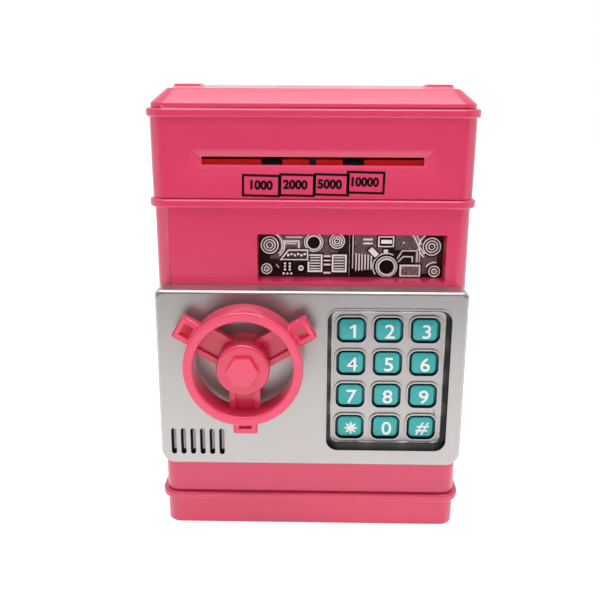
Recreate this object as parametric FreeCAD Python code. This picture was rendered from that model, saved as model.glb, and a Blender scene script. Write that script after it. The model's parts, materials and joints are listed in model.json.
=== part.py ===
import FreeCAD, Part
import os
from math import acos, cos, pi, radians, sin, sqrt, tan
from FreeCAD import Vector

# Toy safe coin bank: moulded case with a motor-fed banknote slot, a hinged door with a
# twelve-key pad, and a handwheel that turns the latch.
# +X is to the right of somebody who faces the door, +Y runs to the back, +Z is up.
# The origin is the centre of the case's footprint, on the surface that it stands on.

# ---------------------------------------------------------------- driving sizes, mm
# case
ledge_width = 130.0
ledge_depth = 100.0
ledge_corner = 8.0
ledge_height = 3.4
ledge_round = 0.9
lower_step = 1.9
upper_step = 1.3
wall = 2.2
floor_thickness = 2.4
base_height = 12.3
foot_chamfer = 0.8
door_rise = 18.3
window_rise = 1.25
belt_rise = 10.55
slot_rise = 14.9
slot_to_shoulder = 16.5
cap_step = 1.8
cap_band = 1.9
cap_rise = 5.4
cap_slope_run = 6.1
cap_edge_round = 1.2
pad_width = 12.0
pad_height = 2.0
pad_from_side = 14.5
pad_from_front = 25.0
pad_bevel = 1.0
lip_height = 2.5
lip_thickness = 1.2
coin_slot_length = 31.0
coin_slot_width = 4.4
coin_slot_rim = 0.8
chute_wall = 1.5
chute_foot = 5.0
chute_funnel = 3.0
# banknote slot
slot_margin = 1.3
slot_height = 3.2
slot_bevel = 5.2
slot_bevel_rise = 3.6
slot_bevel_depth = 1.6
# mechanism window
window_width = 75.7
window_height = 19.5
window_from_right = 9.35
tunnel_depth = 9.0
tunnel_wall = 1.6
panel_thickness = 1.8
relief = 0.9
bolt_from_end = 4.5
bolt_offset = 1.6
# vault mouth and roof
mouth_sill = 4.0
mouth_head = 4.4
mouth_side = 2.3
mouth_corner = 4.0
roof_gap = 0.45
roof_thickness = 2.0
kerb_width = 2.0
kerb_height = 2.0
main_board_from_left = 10.9
main_board_from_back = 6.9
main_board_width = 44.0
main_board_depth = 30.0
board_post_height = 3.0
board_post_radius = 2.0
board_post_inset = 3.0
chip_size = 12.0
chip_height = 1.4
driver_width = 6.0
driver_depth = 5.0
plug_block_height = 6.0
capacitor_radius = 2.5
capacitor_pitch = 6.0
# door
door_side_step = 0.8
door_height = 75.4
door_thickness = 9.5
door_gap = 0.4
door_corner = 6.0
door_edge = 1.5
door_heel = 4.0
door_wall = 2.2
door_back_thickness = 1.8
plug_depth = 6.5
plug_gap = 1.2
# hinge
hinge_from_right = 3.5
hinge_from_front = 4.6
hinge_inset = 16.0
pin_radius = 1.25
pin_length = 18.0
knuckle_radius = 2.7
knuckle_length = 8.0
knuckle_web = 2.6
running_gap = 0.05
part_gap = 0.2
swing_gap = 0.3
# keypad
pad_from_right = 6.5
pad_drop = 0.2
pad_margin = 7.4
pad_mouth_width = 49.2
pad_mouth_corner = 4.5
pad_recess = 5.0
pad_draft = 1.5
pad_floor = 1.8
pad_foot_round = 1.2
bead_width = 0.8
bead_height = 0.35
key_web_x = 4.5
key_web_z = 5.0
pad_side_room = 0.75
pad_end_room = 0.4
key_corner = 2.2
key_gap = 0.8
key_rim = 0.65
key_rim_height = 0.8
key_stand = -0.3
key_flange = 1.3
key_flange_thickness = 0.8
key_travel = 0.9
key_drop = 0.5
key_edge = 0.6
mat_thickness = 1.0
board_thickness = 1.6
board_side_margin = 0.2
board_end_margin = 1.8
board_stop_radius = 2.0
board_stop_inset = 4.0
thin_wall = 1.0
# speaker slots
vent_count = 6
vent_width = 2.2
vent_pitch = 4.0
vent_length = 11.6
vent_from_left = 5.5
vent_from_bottom = 10.3
speaker_radius = 11.5
speaker_depth = 3.9
speaker_from_left = 15.5
speaker_from_bottom = 14.2
magnet_radius = 5.0
magnet_depth = 2.8
# handwheel and lock
wheel_from_left = 36.1
wheel_above_middle = 10.3
ring_radius = 23.3
ring_thickness = 3.9
ring_depth = 12.0
ring_standoff = 4.0
hub_radius = 10.4
hub_gap = 0.3
nut_across_corners = 12.7
nut_height = 2.6
spoke_count = 3
spoke_width = 12.3
spoke_channel = 7.7
spoke_depth = 4.0
spoke_channel_depth = 1.7
lug_width = 9.7
lug_reach = 7.0
lug_pocket = 5.2
lug_rim = 2.2
shaft_radius = 3.0
shaft_flat = 2.4
collar_thickness = 0.8
disc_radius = 9.0
disc_thickness = 2.0
disc_notch_width = 3.2
disc_notch_depth = 3.2
latch_reach = 33.0
latch_width = 8.0
latch_thickness = 2.0
latch_gap = 0.5
plunger_radius = 1.4
plunger_travel = 2.4
plunger_gap = 0.6
plunger_collar = 0.8
bearing_radius = 5.2
solenoid_width = 11.0
solenoid_height = 14.0
spring_height = 4.7
spring_radius = 2.0
spring_wire = 0.25
spring_turns = 5
jamb_pad_height = 19.2
# banknote feeder
drum_radius = 5.4
drum_end_gap = 0.7
tyre_radius = 6.2
tyre_width = 8.0
tyre_reach = 16.0
idler_drum_radius = 4.4
idler_tyre_radius = 5.2
nip_gap = 0.2
roller_back = 7.9
feed_shaft_radius = 1.5
feeder_side_room = 16.3
cheek_thickness = 2.0
note_gap = 4.0
bend_radius = 10.0
guide_thickness = 1.6
centre_groove = 6.0
lever_pivot = 0.8
cheek_top_gap = 1.5
cheek_drop = 15.6
guide_lead = 3.8
guide_drop = 7.0
gear_gap = 1.9
lever_lug_half = 3.6
lever_lug_thickness = 1.6
lever_lug_height = 3.4
lever_arm_width = 2.2
lever_arm_thickness = 1.2
switch_width = 9.0
switch_depth = 3.4
switch_height = 2.5
switch_rise = 2.8
gear_module = 0.6
gear_backlash = 0.12
gear_width = 2.5
gear_step = 3.0
feed_teeth = 22
transfer_small_teeth = 12
transfer_big_teeth = 30
reduction_small_teeth = 12
reduction_big_teeth = 34
pinion_teeth = 10
axle_radius = 1.0
spacer_radius = 2.2
shaft_stub = 1.4
tyre_groove = 0.4
motor_nose = 3.0
motor_tail = 1.5
motor_tail_radius = 3.5
chute_to_motor = 0.6
motor_width = 20.0
motor_flat = 15.0
# rear cover and battery box
rear_side_margin = 10.9
rear_rise = 8.3
rear_head = 16.7
rear_rim = 3.0
rear_ledge = 5.0
rear_post_depth = 8.0
rear_screw_inset = 3.6
flush_head_height = 1.2
head_gap = 0.4
cell_radius = 7.25
cell_length = 50.5
cell_count = 3
cell_pitch = 15.2
cell_nub = 1.0
cell_nub_radius = 2.75
contact_room = 3.5
box_wall = 1.6
cover_thickness = 1.8
cover_pivot = 0.5
cover_side = 0.4
leaf_thickness = 0.4
leaf_width = 9.0
leaf_height = 10.0
leaf_tip_radius = 2.2
spring_foot_radius = 4.0
spring_tip_radius = 2.4
# screws
screw_radius = 1.25
screw_head = 2.6
screw_head_height = 1.8
case_screw_length = 16.0
small_screw_radius = 1.0
small_screw_head = 2.0
small_screw_head_height = 1.3
small_screw_length = 6.0
door_screw_length = 10.0
post_radius = 3.6
post_inset = 3.3
post_foot = 5.0
post_sleeve = 0.6
base_screw_seat = 4.7
cover_screw_drop = 11.5
feeder_boss_reach = 3.0
feeder_boss_radius = 2.8
panel_boss_radius = 2.5
roof_boss_radius = 3.4
roof_boss_from_end = 20.9
roof_boss_height = 9.0
door_boss_radius = 3.0

AXIS_X = Vector(1, 0, 0)
AXIS_Y = Vector(0, 1, 0)
AXIS_Z = Vector(0, 0, 1)
ORIGIN = Vector(0, 0, 0)

# ---------------------------------------------------------------- sizes that follow
lower_width = ledge_width - 2 * lower_step
lower_depth = ledge_depth - 2 * lower_step
lower_corner = ledge_corner - lower_step
upper_width = ledge_width - 2 * upper_step
upper_depth = ledge_depth - 2 * upper_step
upper_corner = ledge_corner - upper_step
inner_width = lower_width - 2 * wall
inner_depth = lower_depth - 2 * wall
inner_corner = lower_corner - wall
case_front = -lower_depth / 2
inner_front = case_front + wall
upper_front = -upper_depth / 2
case_back = lower_depth / 2
body_bottom = base_height + ledge_height
door_width = lower_width - 2 * door_side_step
door_bottom = body_bottom + door_rise
door_top = door_bottom + door_height
window_bottom = door_top + window_rise
window_z = window_bottom + window_height / 2
window_x = lower_width / 2 - window_from_right - window_width / 2
belt_height = window_bottom + window_height + belt_rise
belt_top = belt_height + ledge_height
slot_level = belt_top + slot_rise
shoulder_height = slot_level + slot_to_shoulder
pad_reach = ledge_width / 2 - pad_from_side
pad_forward = ledge_depth / 2 - pad_from_front
cap_bottom = shoulder_height + ledge_height
cap_top = cap_bottom + cap_band + cap_rise
post_x = inner_width / 2 - post_inset
post_y = inner_depth / 2 - post_inset

door_back = case_front - door_gap
door_front = door_back - door_thickness
door_z = door_bottom + door_height / 2
skin_back = door_front + door_wall
plug_back = door_back + plug_depth
hinge_x = door_width / 2 - hinge_from_right
hinge_y = door_front + hinge_from_front
mouth_width = 2 * (hinge_x - knuckle_web / 2 - mouth_side)
mouth_height = door_height - mouth_sill - mouth_head
mouth_z = door_bottom + mouth_sill + mouth_height / 2
plug_width = mouth_width - 2 * plug_gap
plug_height = mouth_height - 2 * plug_gap
stile_left = hinge_x - knuckle_radius - door_back_thickness + swing_gap
knuckle_levels = (door_bottom + hinge_inset, door_top - hinge_inset)

pad_front = door_front + pad_recess
pad_back = pad_front + pad_floor
key_front = pad_front - key_rim_height - key_stand
key_seat = pad_back + running_gap
mat_front = key_seat + key_flange_thickness + key_travel + running_gap
board_front = mat_front + mat_thickness
board_back = board_front + board_thickness
pad_x = door_width / 2 - pad_from_right - pad_mouth_width / 2
pad_z = door_z - pad_drop
pad_mouth_height = door_height - 2 * pad_margin
key_pitch_x = (pad_mouth_width - 2 * pad_draft - 2 * pad_side_room) / 3
key_pitch_z = (pad_mouth_height - 2 * pad_draft - 2 * pad_end_room) / 4
key_width = key_pitch_x - key_web_x
key_height = key_pitch_z - key_web_z
vent_first_x = -door_width / 2 + vent_from_left
vent_z = door_bottom + vent_from_bottom
speaker_x = -door_width / 2 + speaker_from_left
speaker_z = door_bottom + speaker_from_bottom
wheel_x = -door_width / 2 + wheel_from_left
wheel_z = door_z + wheel_above_middle
key_z = pad_z - key_drop
key_columns = [pad_x + (i - 1) * key_pitch_x for i in range(3)]
key_rows = [key_z + (1.5 - j) * key_pitch_z for j in range(4)]
key_names = ["1", "2", "3", "4", "5", "6", "7", "8", "9", "star", "0", "hash"]

ring_back = door_front - ring_standoff
ring_front = ring_back - ring_depth
ring_inner = ring_radius - ring_thickness
shaft_front = ring_front + ring_depth * 0.4
boss_back = skin_back + door_wall
collar_back = boss_back + part_gap + collar_thickness
disc_back = collar_back + disc_thickness
latch_front = plug_back + latch_gap
latch_back = latch_front + latch_thickness
jamb_pad_back = latch_front - swing_gap
plunger_y = disc_back - disc_thickness / 2
plunger_top = wheel_z - disc_radius - plunger_gap
collar_z = wheel_z - disc_radius - plunger_travel - plunger_collar - 2 * part_gap
solenoid_top = collar_z - spring_height
solenoid_bottom = solenoid_top - solenoid_height

cheek_half_span = inner_width / 2 - feeder_side_room
motor_left = (coin_slot_length + 1) / 2 + chute_wall + chute_to_motor + motor_tail
motor_length = cheek_half_span - motor_left
slot_width = 2 * (cheek_half_span - slot_margin)
drum_half_length = cheek_half_span - drum_end_gap
roller_y = inner_front + roller_back
roller_z = slot_level - tyre_radius - nip_gap
idler_z = slot_level + idler_tyre_radius
note_floor = slot_level - note_gap / 2 + part_gap
bend_y = roller_y + tyre_radius + guide_lead
cheek_out = cheek_half_span + cheek_thickness
cheek_top = shoulder_height - lip_height - cheek_top_gap
cheek_bottom = roller_z - cheek_drop
gear_left = cheek_out + gear_gap
lever_level = shoulder_height - lip_height - part_gap - switch_height - switch_rise
lever_y = inner_front + 2 * lever_pivot
cover_seat = shoulder_height - cover_screw_drop
feeder_boss_x = cheek_out + feeder_boss_radius + 1
feeder_boss_levels = (cheek_bottom + feeder_boss_radius, cheek_top - feeder_boss_radius)
panel_boss_x = window_width / 2 + tunnel_wall + panel_boss_radius / 2
panel_front = case_front + tunnel_depth
roof_boss_x = inner_width / 2 - roof_boss_radius + part_gap
roof_top = window_bottom - tunnel_wall - roof_gap
roof_level = roof_top - roof_thickness
roof_boss_y = inner_depth / 2 - roof_boss_from_end
main_board_x = -inner_width / 2 + main_board_from_left + main_board_width / 2
main_board_y = inner_depth / 2 - main_board_from_back - main_board_depth / 2

rear_width = inner_width - 2 * rear_side_margin
rear_bottom = body_bottom + rear_rise
rear_height = belt_height - rear_head - rear_bottom
rear_z = rear_bottom + rear_height / 2
rim_front = case_back - 2 * wall
cell_y = case_back - cover_thickness - 3 * part_gap - cell_radius
box_half_x = cell_length / 2 + contact_room
box_half_z = cell_count * cell_pitch / 2 + part_gap
cover_inner = case_back - cover_thickness
cover_half_x = box_half_x + box_wall + cover_side
cover_low = rear_z - box_half_z - box_wall - swing_gap
cover_high = rear_z + box_half_z + box_wall + 2 * swing_gap
cover_axis_y = case_back - cover_thickness / 2
cover_axis_z = cover_low + 2 * cover_pivot
board_half_x = key_pitch_x + key_width / 2 + key_flange + board_side_margin
board_half_z = 1.5 * key_pitch_z + key_height / 2 + key_flange + board_end_margin


def pitch_radius(teeth):
    return teeth * gear_module / 2


def gear_centre(start, teeth, next_teeth, angle):
    """Centre of the next gear of the train, at angle above the line to the back."""
    reach = pitch_radius(teeth) + pitch_radius(next_teeth)
    return (start[0] + reach * cos(radians(angle)), start[1] + reach * sin(radians(angle)))


mesh_angles = (16.0, -7.0, 16.0)
feed_centre = (roller_y, roller_z)
transfer_centre = gear_centre(feed_centre, feed_teeth, transfer_small_teeth, mesh_angles[0])
reduction_centre = gear_centre(transfer_centre, transfer_big_teeth, reduction_small_teeth, mesh_angles[1])
motor_centre = gear_centre(reduction_centre, reduction_big_teeth, pinion_teeth, mesh_angles[2])
side_plate_left = gear_left + 3 * gear_step
side_plate_right = side_plate_left + guide_thickness
cheek_back = bend_y + bend_radius + note_gap + 2 * guide_thickness
spacer_y = (transfer_centre[0] + reduction_centre[0]) / 2
spacer_levels = (cheek_bottom + 2.6, cheek_top - 2.6)


# ---------------------------------------------------------------- shape helpers
def span(centre, length):
    return (centre - length / 2, centre + length / 2)


def block(x, y, z):
    """Box between three (low, high) pairs."""
    return Part.makeBox(x[1] - x[0], y[1] - y[0], z[1] - z[0], Vector(x[0], y[0], z[0]))


def rod(axis, radius, start, length):
    return Part.makeCylinder(radius, length, Vector(*start), axis)


def tube(axis, outer, inner, start, length):
    return rod(axis, outer, start, length).cut(rod(axis, inner, start, length))


def outline(width, height, corner):
    """Rounded rectangle about the origin in the XY plane, from lines and tangent arcs."""
    edges = []
    right, top = width / 2, height / 2
    if corner <= 0:
        points = [(-right, -top), (right, -top), (right, top), (-right, top), (-right, -top)]
        return Part.makePolygon([Vector(x, y, 0) for x, y in points])
    slant = corner * (1 - sqrt(0.5))
    for turn in range(4):
        side = right if turn % 2 == 0 else top
        across = top if turn % 2 == 0 else right
        start = Vector(side, -across + corner, 0)
        end = Vector(side, across - corner, 0)
        middle = Vector(side - slant, across - slant, 0)
        arc_end = Vector(side - corner, across, 0)
        quarter = [Part.LineSegment(start, end).toShape(), Part.Arc(end, middle, arc_end).toShape()]
        for edge in quarter:
            edge.rotate(ORIGIN, AXIS_Z, 90 * turn)
            edges.append(edge)
    return Part.Wire(edges)


def slab(width, depth, corner, low, high):
    """Upright block with rounded corners, centred on the origin in plan."""
    face = Part.Face(outline(width, depth, corner))
    face.translate(Vector(0, 0, low))
    return face.extrude(Vector(0, 0, high - low))


def facing(width, height, corner, x, z, y):
    """Rounded outline that faces the front, at depth y."""
    wire = outline(width, height, corner)
    wire.rotate(ORIGIN, AXIS_X, 90)
    wire.translate(Vector(x, y, z))
    return wire


def panel(width, height, corner, x, z, front, back):
    """Upright plate with rounded corners that faces the front."""
    return Part.Face(facing(width, height, corner, x, z, front)).extrude(Vector(0, back - front, 0))


def joined(shapes):
    first, rest = shapes[0], shapes[1:]
    if rest:
        first = first.fuse(rest)
    return first.removeSplitter()


def level_edges(shape, level):
    """Edges that lie wholly at height level."""
    return [e for e in shape.Edges if all(abs(v.Z - level) < 1e-4 for v in e.Vertexes)
            and abs(e.BoundBox.ZLength) < 1e-4]


def depth_edges(shape, depth):
    """Edges that lie wholly at depth y."""
    return [e for e in shape.Edges if all(abs(v.Y - depth) < 1e-4 for v in e.Vertexes)
            and abs(e.BoundBox.YLength) < 1e-4]


def screw(seat, direction, length, radius, head_radius, head_height):
    """Pan-head screw whose head bears on seat and whose shank runs along direction."""
    shank = rod(direction, radius, seat, length)
    head = rod(direction * -1, head_radius, seat, head_height)
    return joined([shank, head])


def case_screw(seat, direction):
    return screw(seat, direction, case_screw_length, screw_radius, screw_head, screw_head_height)


def small_screw(seat, direction):
    return screw(seat, direction, small_screw_length, small_screw_radius, small_screw_head,
                 small_screw_head_height)


def corners(x, y):
    return [(sx * x, sy * y) for sx in (-1, 1) for sy in (-1, 1)]


# ---------------------------------------------------------------- case
def ledge(level):
    """Rounded moulding that runs round the case."""
    band = slab(ledge_width, ledge_depth, ledge_corner, level, level + ledge_height)
    edges = level_edges(band, level) + level_edges(band, level + ledge_height)
    return band.makeFillet(ledge_round, edges)


def hoop(clearance, low, high):
    """Thin wall that runs round inside the case, clearance away from its inner face."""
    width, depth, corner = (inner_width - 2 * clearance, inner_depth - 2 * clearance, inner_corner - clearance)
    outer = slab(width, depth, corner, low, high)
    return outer.cut(slab(width - 2 * lip_thickness, depth - 2 * lip_thickness, corner - lip_thickness,
                          low, high))


def base_tray():
    foot = slab(lower_width, lower_depth, lower_corner, 0, base_height + ledge_round)
    foot = foot.makeChamfer(foot_chamfer, level_edges(foot, 0))
    tray = foot.fuse(ledge(base_height))
    tray = tray.cut(slab(inner_width, inner_depth, inner_corner, floor_thickness, body_bottom + 1))
    lip_foot = body_bottom - floor_thickness
    posts = [rod(AXIS_Z, post_radius + post_sleeve, (x, y, 0), body_bottom)
             for x, y in corners(post_x, post_y)]
    tray = joined([tray, hoop(0, lip_foot, body_bottom), hoop(part_gap, lip_foot, body_bottom + lip_height)]
                  + posts)
    cutters = []
    for x, y in corners(post_x, post_y):
        cutters.append(rod(AXIS_Z, post_radius + post_sleeve, (x, y, body_bottom), lip_height + 1))
        cutters.append(rod(AXIS_Z, screw_head + head_gap, (x, y, 0), base_screw_seat))
        cutters.append(rod(AXIS_Z, screw_radius + part_gap, (x, y, 0), body_bottom))
    return tray.cut(cutters)


def wall_boss(x, z, reach, radius):
    """Boss that stands on the inside of the front wall."""
    return rod(AXIS_Y, radius, (x, inner_front - wall / 2, z), reach + wall / 2)


def note_slot_cutter():
    """Mitred bevel that narrows to the banknote slot."""
    outer = facing(slot_width + 2 * slot_bevel, slot_height + 2 * slot_bevel_rise, 0, 0, slot_level,
                   upper_front)
    inner = facing(slot_width, slot_height, 0, 0, slot_level, upper_front + slot_bevel_depth)
    bevel = Part.makeLoft([outer, inner], True, True)
    return bevel.fuse(panel(slot_width, slot_height, 0, 0, slot_level, upper_front, inner_front + 1))


def knuckle(level):
    """Hinge barrel on a web that stands out of the front wall."""
    low = level - knuckle_length / 2
    barrel = rod(AXIS_Z, knuckle_radius, (hinge_x, hinge_y, low), knuckle_length)
    web = block(span(hinge_x, knuckle_web), (hinge_y, case_front + wall * 0.7), span(level, knuckle_length))
    return barrel.fuse(web).cut(rod(AXIS_Z, pin_radius + running_gap, (hinge_x, hinge_y, low),
                                    knuckle_length))


def body_shell():
    lower = slab(lower_width, lower_depth, lower_corner, body_bottom, belt_height + ledge_round)
    upper = slab(upper_width, upper_depth, upper_corner, belt_top - ledge_round, shoulder_height)
    shell = joined([lower, ledge(belt_height), upper])
    shell = shell.cut(slab(inner_width, inner_depth, inner_corner, body_bottom - 1, shoulder_height + 1))
    mouth = panel(mouth_width, mouth_height, mouth_corner, 0, mouth_z, case_front - 1, inner_front + 1)
    window = panel(window_width, window_height, 0.6, window_x, window_z, case_front - 1,
                   case_front + tunnel_depth + 1)
    rear = panel(rear_width, rear_height, mouth_corner, 0, rear_z, case_back - wall - 1, case_back + 1)
    shell = shell.cut([mouth, rear])
    # tunnel behind the window
    tunnel = panel(window_width + 2 * tunnel_wall, window_height + 2 * tunnel_wall, 1.0, window_x, window_z,
                   case_front + wall / 2, case_front + tunnel_depth)
    ears = [rod(AXIS_Y, panel_boss_radius, (window_x + s * panel_boss_x, inner_front - wall / 2, window_z),
                tunnel_depth - wall / 2) for s in (-1, 1)]
    shell = joined([shell, tunnel] + ears).cut(window)
    # rebate that the rear cover seats on
    rim_back = case_back - wall
    rebate = panel(rear_width + 2 * rear_rim, rear_height + 2 * rear_rim, mouth_corner + rear_rim, 0, rear_z,
                   rim_front, rim_back)
    rebate = rebate.cut(panel(rear_width - 2 * rear_ledge, rear_height - 2 * rear_ledge, mouth_corner, 0,
                              rear_z, rim_front - 1, rim_back + 1))
    rear_posts = [rod(AXIS_Y, screw_head + head_gap, (x, rim_front - rear_post_depth, z),
                      rear_post_depth + wall / 2) for x, z in rear_screw_points()]
    # jamb pad that the latch arm pulls against
    jamb = (-inner_width / 2 - wall / 2, -mouth_width / 2)
    jamb_pad = block(jamb, (inner_front - wall / 2, jamb_pad_back), span(wheel_z, jamb_pad_height))
    posts = []
    for x, y in corners(post_x, post_y):
        posts.append(rod(AXIS_Z, post_radius, (x, y, body_bottom), case_screw_length))
        posts.append(rod(AXIS_Z, post_radius, (x, y, cover_seat), post_foot))
    roof_posts = [rod(AXIS_Z, roof_boss_radius, (x, y, roof_level - roof_boss_height), roof_boss_height)
                  for x, y in corners(roof_boss_x, roof_boss_y)]
    feeder_bosses = [wall_boss(s * feeder_boss_x, z, feeder_boss_reach, feeder_boss_radius)
                     for s in (-1, 1) for z in feeder_boss_levels]
    lugs = [block(span(s * lever_lug_half, lever_lug_thickness),
                  (inner_front - wall / 2, lever_y + lever_pivot * 1.75), span(lever_level, lever_lug_height))
            for s in (-1, 1)]
    shell = joined([shell, rebate, jamb_pad] + rear_posts + posts + roof_posts + feeder_bosses + lugs
                   + [knuckle(level) for level in knuckle_levels])
    # holes
    cutters = [note_slot_cutter()]
    for x, y in corners(post_x, post_y):
        cutters.append(rod(AXIS_Z, screw_radius + running_gap, (x, y, body_bottom), case_screw_length - 1.5))
        cutters.append(rod(AXIS_Z, screw_radius + part_gap, (x, y, cover_seat), post_foot))
    for x, y in corners(roof_boss_x, roof_boss_y):
        cutters.append(rod(AXIS_Z, small_screw_radius + running_gap,
                           (x, y, roof_level - small_screw_length - 1),
                           small_screw_length + 2))
    for x, z in rear_screw_points():
        cutters.append(rod(AXIS_Y, screw_radius + running_gap, (x, rim_front - rear_post_depth + 1, z),
                           rear_post_depth + wall))
    for s in (-1, 1):
        cutters.append(rod(AXIS_Y, small_screw_radius + running_gap,
                           (window_x + s * panel_boss_x, inner_front + 1, window_z), tunnel_depth))
    for s in (-1, 1):
        for z in feeder_boss_levels:
            cutters.append(rod(AXIS_Y, small_screw_radius + running_gap,
                               (s * feeder_boss_x, inner_front - wall / 2, z), feeder_boss_reach + wall))
    cutters.append(rod(AXIS_X, lever_pivot + running_gap, (-lever_lug_half - 1, lever_y, lever_level),
                       2 * lever_lug_half + 2))
    return shell.cut(cutters)


def rear_screw_points():
    return [(x, rear_z + z) for x, z in corners(rear_width / 2 - rear_screw_inset,
                                                rear_height / 2 - rear_screw_inset)]


def cap_solid(inset):
    """Cap above the top ledge: a short band, then slopes up to the flat top."""
    width = ledge_width - 2 * cap_step - 2 * inset
    depth = ledge_depth - 2 * cap_step - 2 * inset
    corner = max(ledge_corner - cap_step - inset, 0.5)
    slope_start = cap_bottom + cap_band
    band = slab(width, depth, corner, cap_bottom - ledge_round, slope_start)
    top_corner = max(corner - 2.5, 0.4)
    low = outline(width, depth, corner)
    low.translate(Vector(0, 0, slope_start))
    high = outline(width - 2 * cap_slope_run, depth - 2 * cap_slope_run, top_corner)
    high.translate(Vector(0, 0, cap_top - inset))
    return joined([band, Part.makeLoft([low, high], True, True)])


def top_pad(x):
    """Low bevelled pad on the flat of the cap."""
    low = outline(pad_width, pad_width, 0)
    high = outline(pad_width - 2 * pad_bevel, pad_width - 2 * pad_bevel, 0)
    low.translate(Vector(x, -pad_forward, cap_top - wall / 4))
    high.translate(Vector(x, -pad_forward, cap_top + pad_height))
    return Part.makeLoft([low, high], True, True)


def top_cover():
    cap = cap_solid(0)
    cap = cap.makeFillet(cap_edge_round, level_edges(cap, cap_top) + level_edges(cap, cap_bottom + cap_band))
    outer = cap.fuse([ledge(shoulder_height), top_pad(-pad_reach), top_pad(pad_reach)])
    hollow = cap_solid(wall).fuse(slab(inner_width, inner_depth, inner_corner, shoulder_height - 1,
                                       cap_bottom - 0.5))
    cover = outer.cut(hollow)
    skirt = hoop(part_gap, shoulder_height - lip_height, cap_bottom)
    neck = hoop(0, shoulder_height, cap_bottom)
    boss_bottom = cover_seat + post_foot
    bosses = [rod(AXIS_Z, post_radius - part_gap, (x, y, boss_bottom), cap_top - boss_bottom)
              for x, y in corners(post_x, post_y)]
    limit = cap_solid(wall / 2).fuse(slab(inner_width - 2 * part_gap, inner_depth - 2 * part_gap,
                                          inner_corner, boss_bottom, cap_bottom))
    bosses = [boss.common(limit) for boss in bosses]
    cover = joined([cover, skirt, neck] + bosses)
    cutters = [rod(AXIS_Z, screw_radius + running_gap, (x, y, boss_bottom),
                    case_screw_length - post_foot + part_gap)
               for x, y in corners(post_x, post_y)]
    coin = slab(coin_slot_length, coin_slot_width, coin_slot_rim, cap_top - wall - 1, cap_top + 1)
    mouth = slab(coin_slot_length + 2 * coin_slot_rim, coin_slot_width + 2 * coin_slot_rim, 2 * coin_slot_rim,
                 cap_top - coin_slot_rim / 2, cap_top + 1)
    return cover.cut(cutters + [coin, mouth])


def vault_roof():
    """Deck over the vault, with the banknote drop and the coin drop through it."""
    plate = slab(inner_width - 2 * part_gap, inner_depth - 2 * part_gap, inner_corner - part_gap,
                 roof_level, roof_top)
    coin = slab(coin_slot_length + 1, coin_slot_width + 1, 0.8, roof_level - 1, roof_top + 1)
    behind = block((-ledge_width, ledge_width), (rim_front - part_gap, ledge_depth),
                   (roof_level - 1, roof_top + 1))
    holes = [rod(AXIS_Z, small_screw_radius + part_gap, (x, y, roof_level - 1), roof_thickness + 2)
             for x, y in corners(roof_boss_x, roof_boss_y)]
    plate = plate.cut([coin, behind] + holes)
    kerb = block((-cheek_half_span - kerb_width, cheek_half_span + kerb_width),
                 (bend_y - 4 - kerb_width, cheek_back - 1 + kerb_width), (roof_level, roof_top + kerb_height))
    shaft = block((-cheek_half_span, cheek_half_span), (bend_y - 4, cheek_back - 1),
                  (roof_level - 1, roof_top + kerb_height + 1))
    return joined([plate, kerb] + board_posts()).cut(shaft)


def board_posts():
    return [rod(AXIS_Z, board_post_radius, (main_board_x + x, main_board_y + y, roof_level),
                roof_thickness + board_post_height)
            for x, y in corners(main_board_width / 2 - board_post_inset,
                                main_board_depth / 2 - board_post_inset)]


def main_board():
    """Circuit board on the vault roof, with its packages."""
    low = roof_top + board_post_height
    top = low + board_thickness
    board = slab(main_board_width, main_board_depth, 1.0, low, top)
    chip = slab(chip_size, chip_size, 0, top, top + chip_height)
    driver = slab(driver_width, driver_depth, 0, top, top + chip_height)
    side = chip_size / 2 + driver_width
    driver.translate(Vector(side, -driver_depth, 0))
    plug = slab(driver_depth, chip_size, 0, top, top + plug_block_height)
    plug.translate(Vector(driver_depth - main_board_width / 2, driver_depth - 1, 0))
    cans = [rod(AXIS_Z, capacitor_radius, (side - capacitor_pitch * i, chip_size - capacitor_radius, top),
                plug_block_height) for i in range(2)]
    board = joined([board, chip, driver, plug] + cans)
    board.translate(Vector(main_board_x, main_board_y, 0))
    return board


def coin_chute():
    """Flat tube from the coin slot down to the drop in the roof."""
    length, width = coin_slot_length + 1, coin_slot_width + 1
    wide, deep = length + 2 * chute_wall, width + 2 * chute_wall
    high = cap_top - wall - part_gap
    body = slab(wide, deep, chute_wall, roof_top, high)
    foot = slab(length + 2 * chute_foot, width + 2 * chute_foot, chute_wall, roof_top, roof_top + chute_wall)
    funnel = slab(wide + chute_funnel, deep + chute_funnel, chute_wall, high - chute_wall, high)
    bore = slab(length, width, coin_slot_rim, roof_top - 1, high + 1)
    return joined([body, foot, funnel]).cut(bore)


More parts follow.
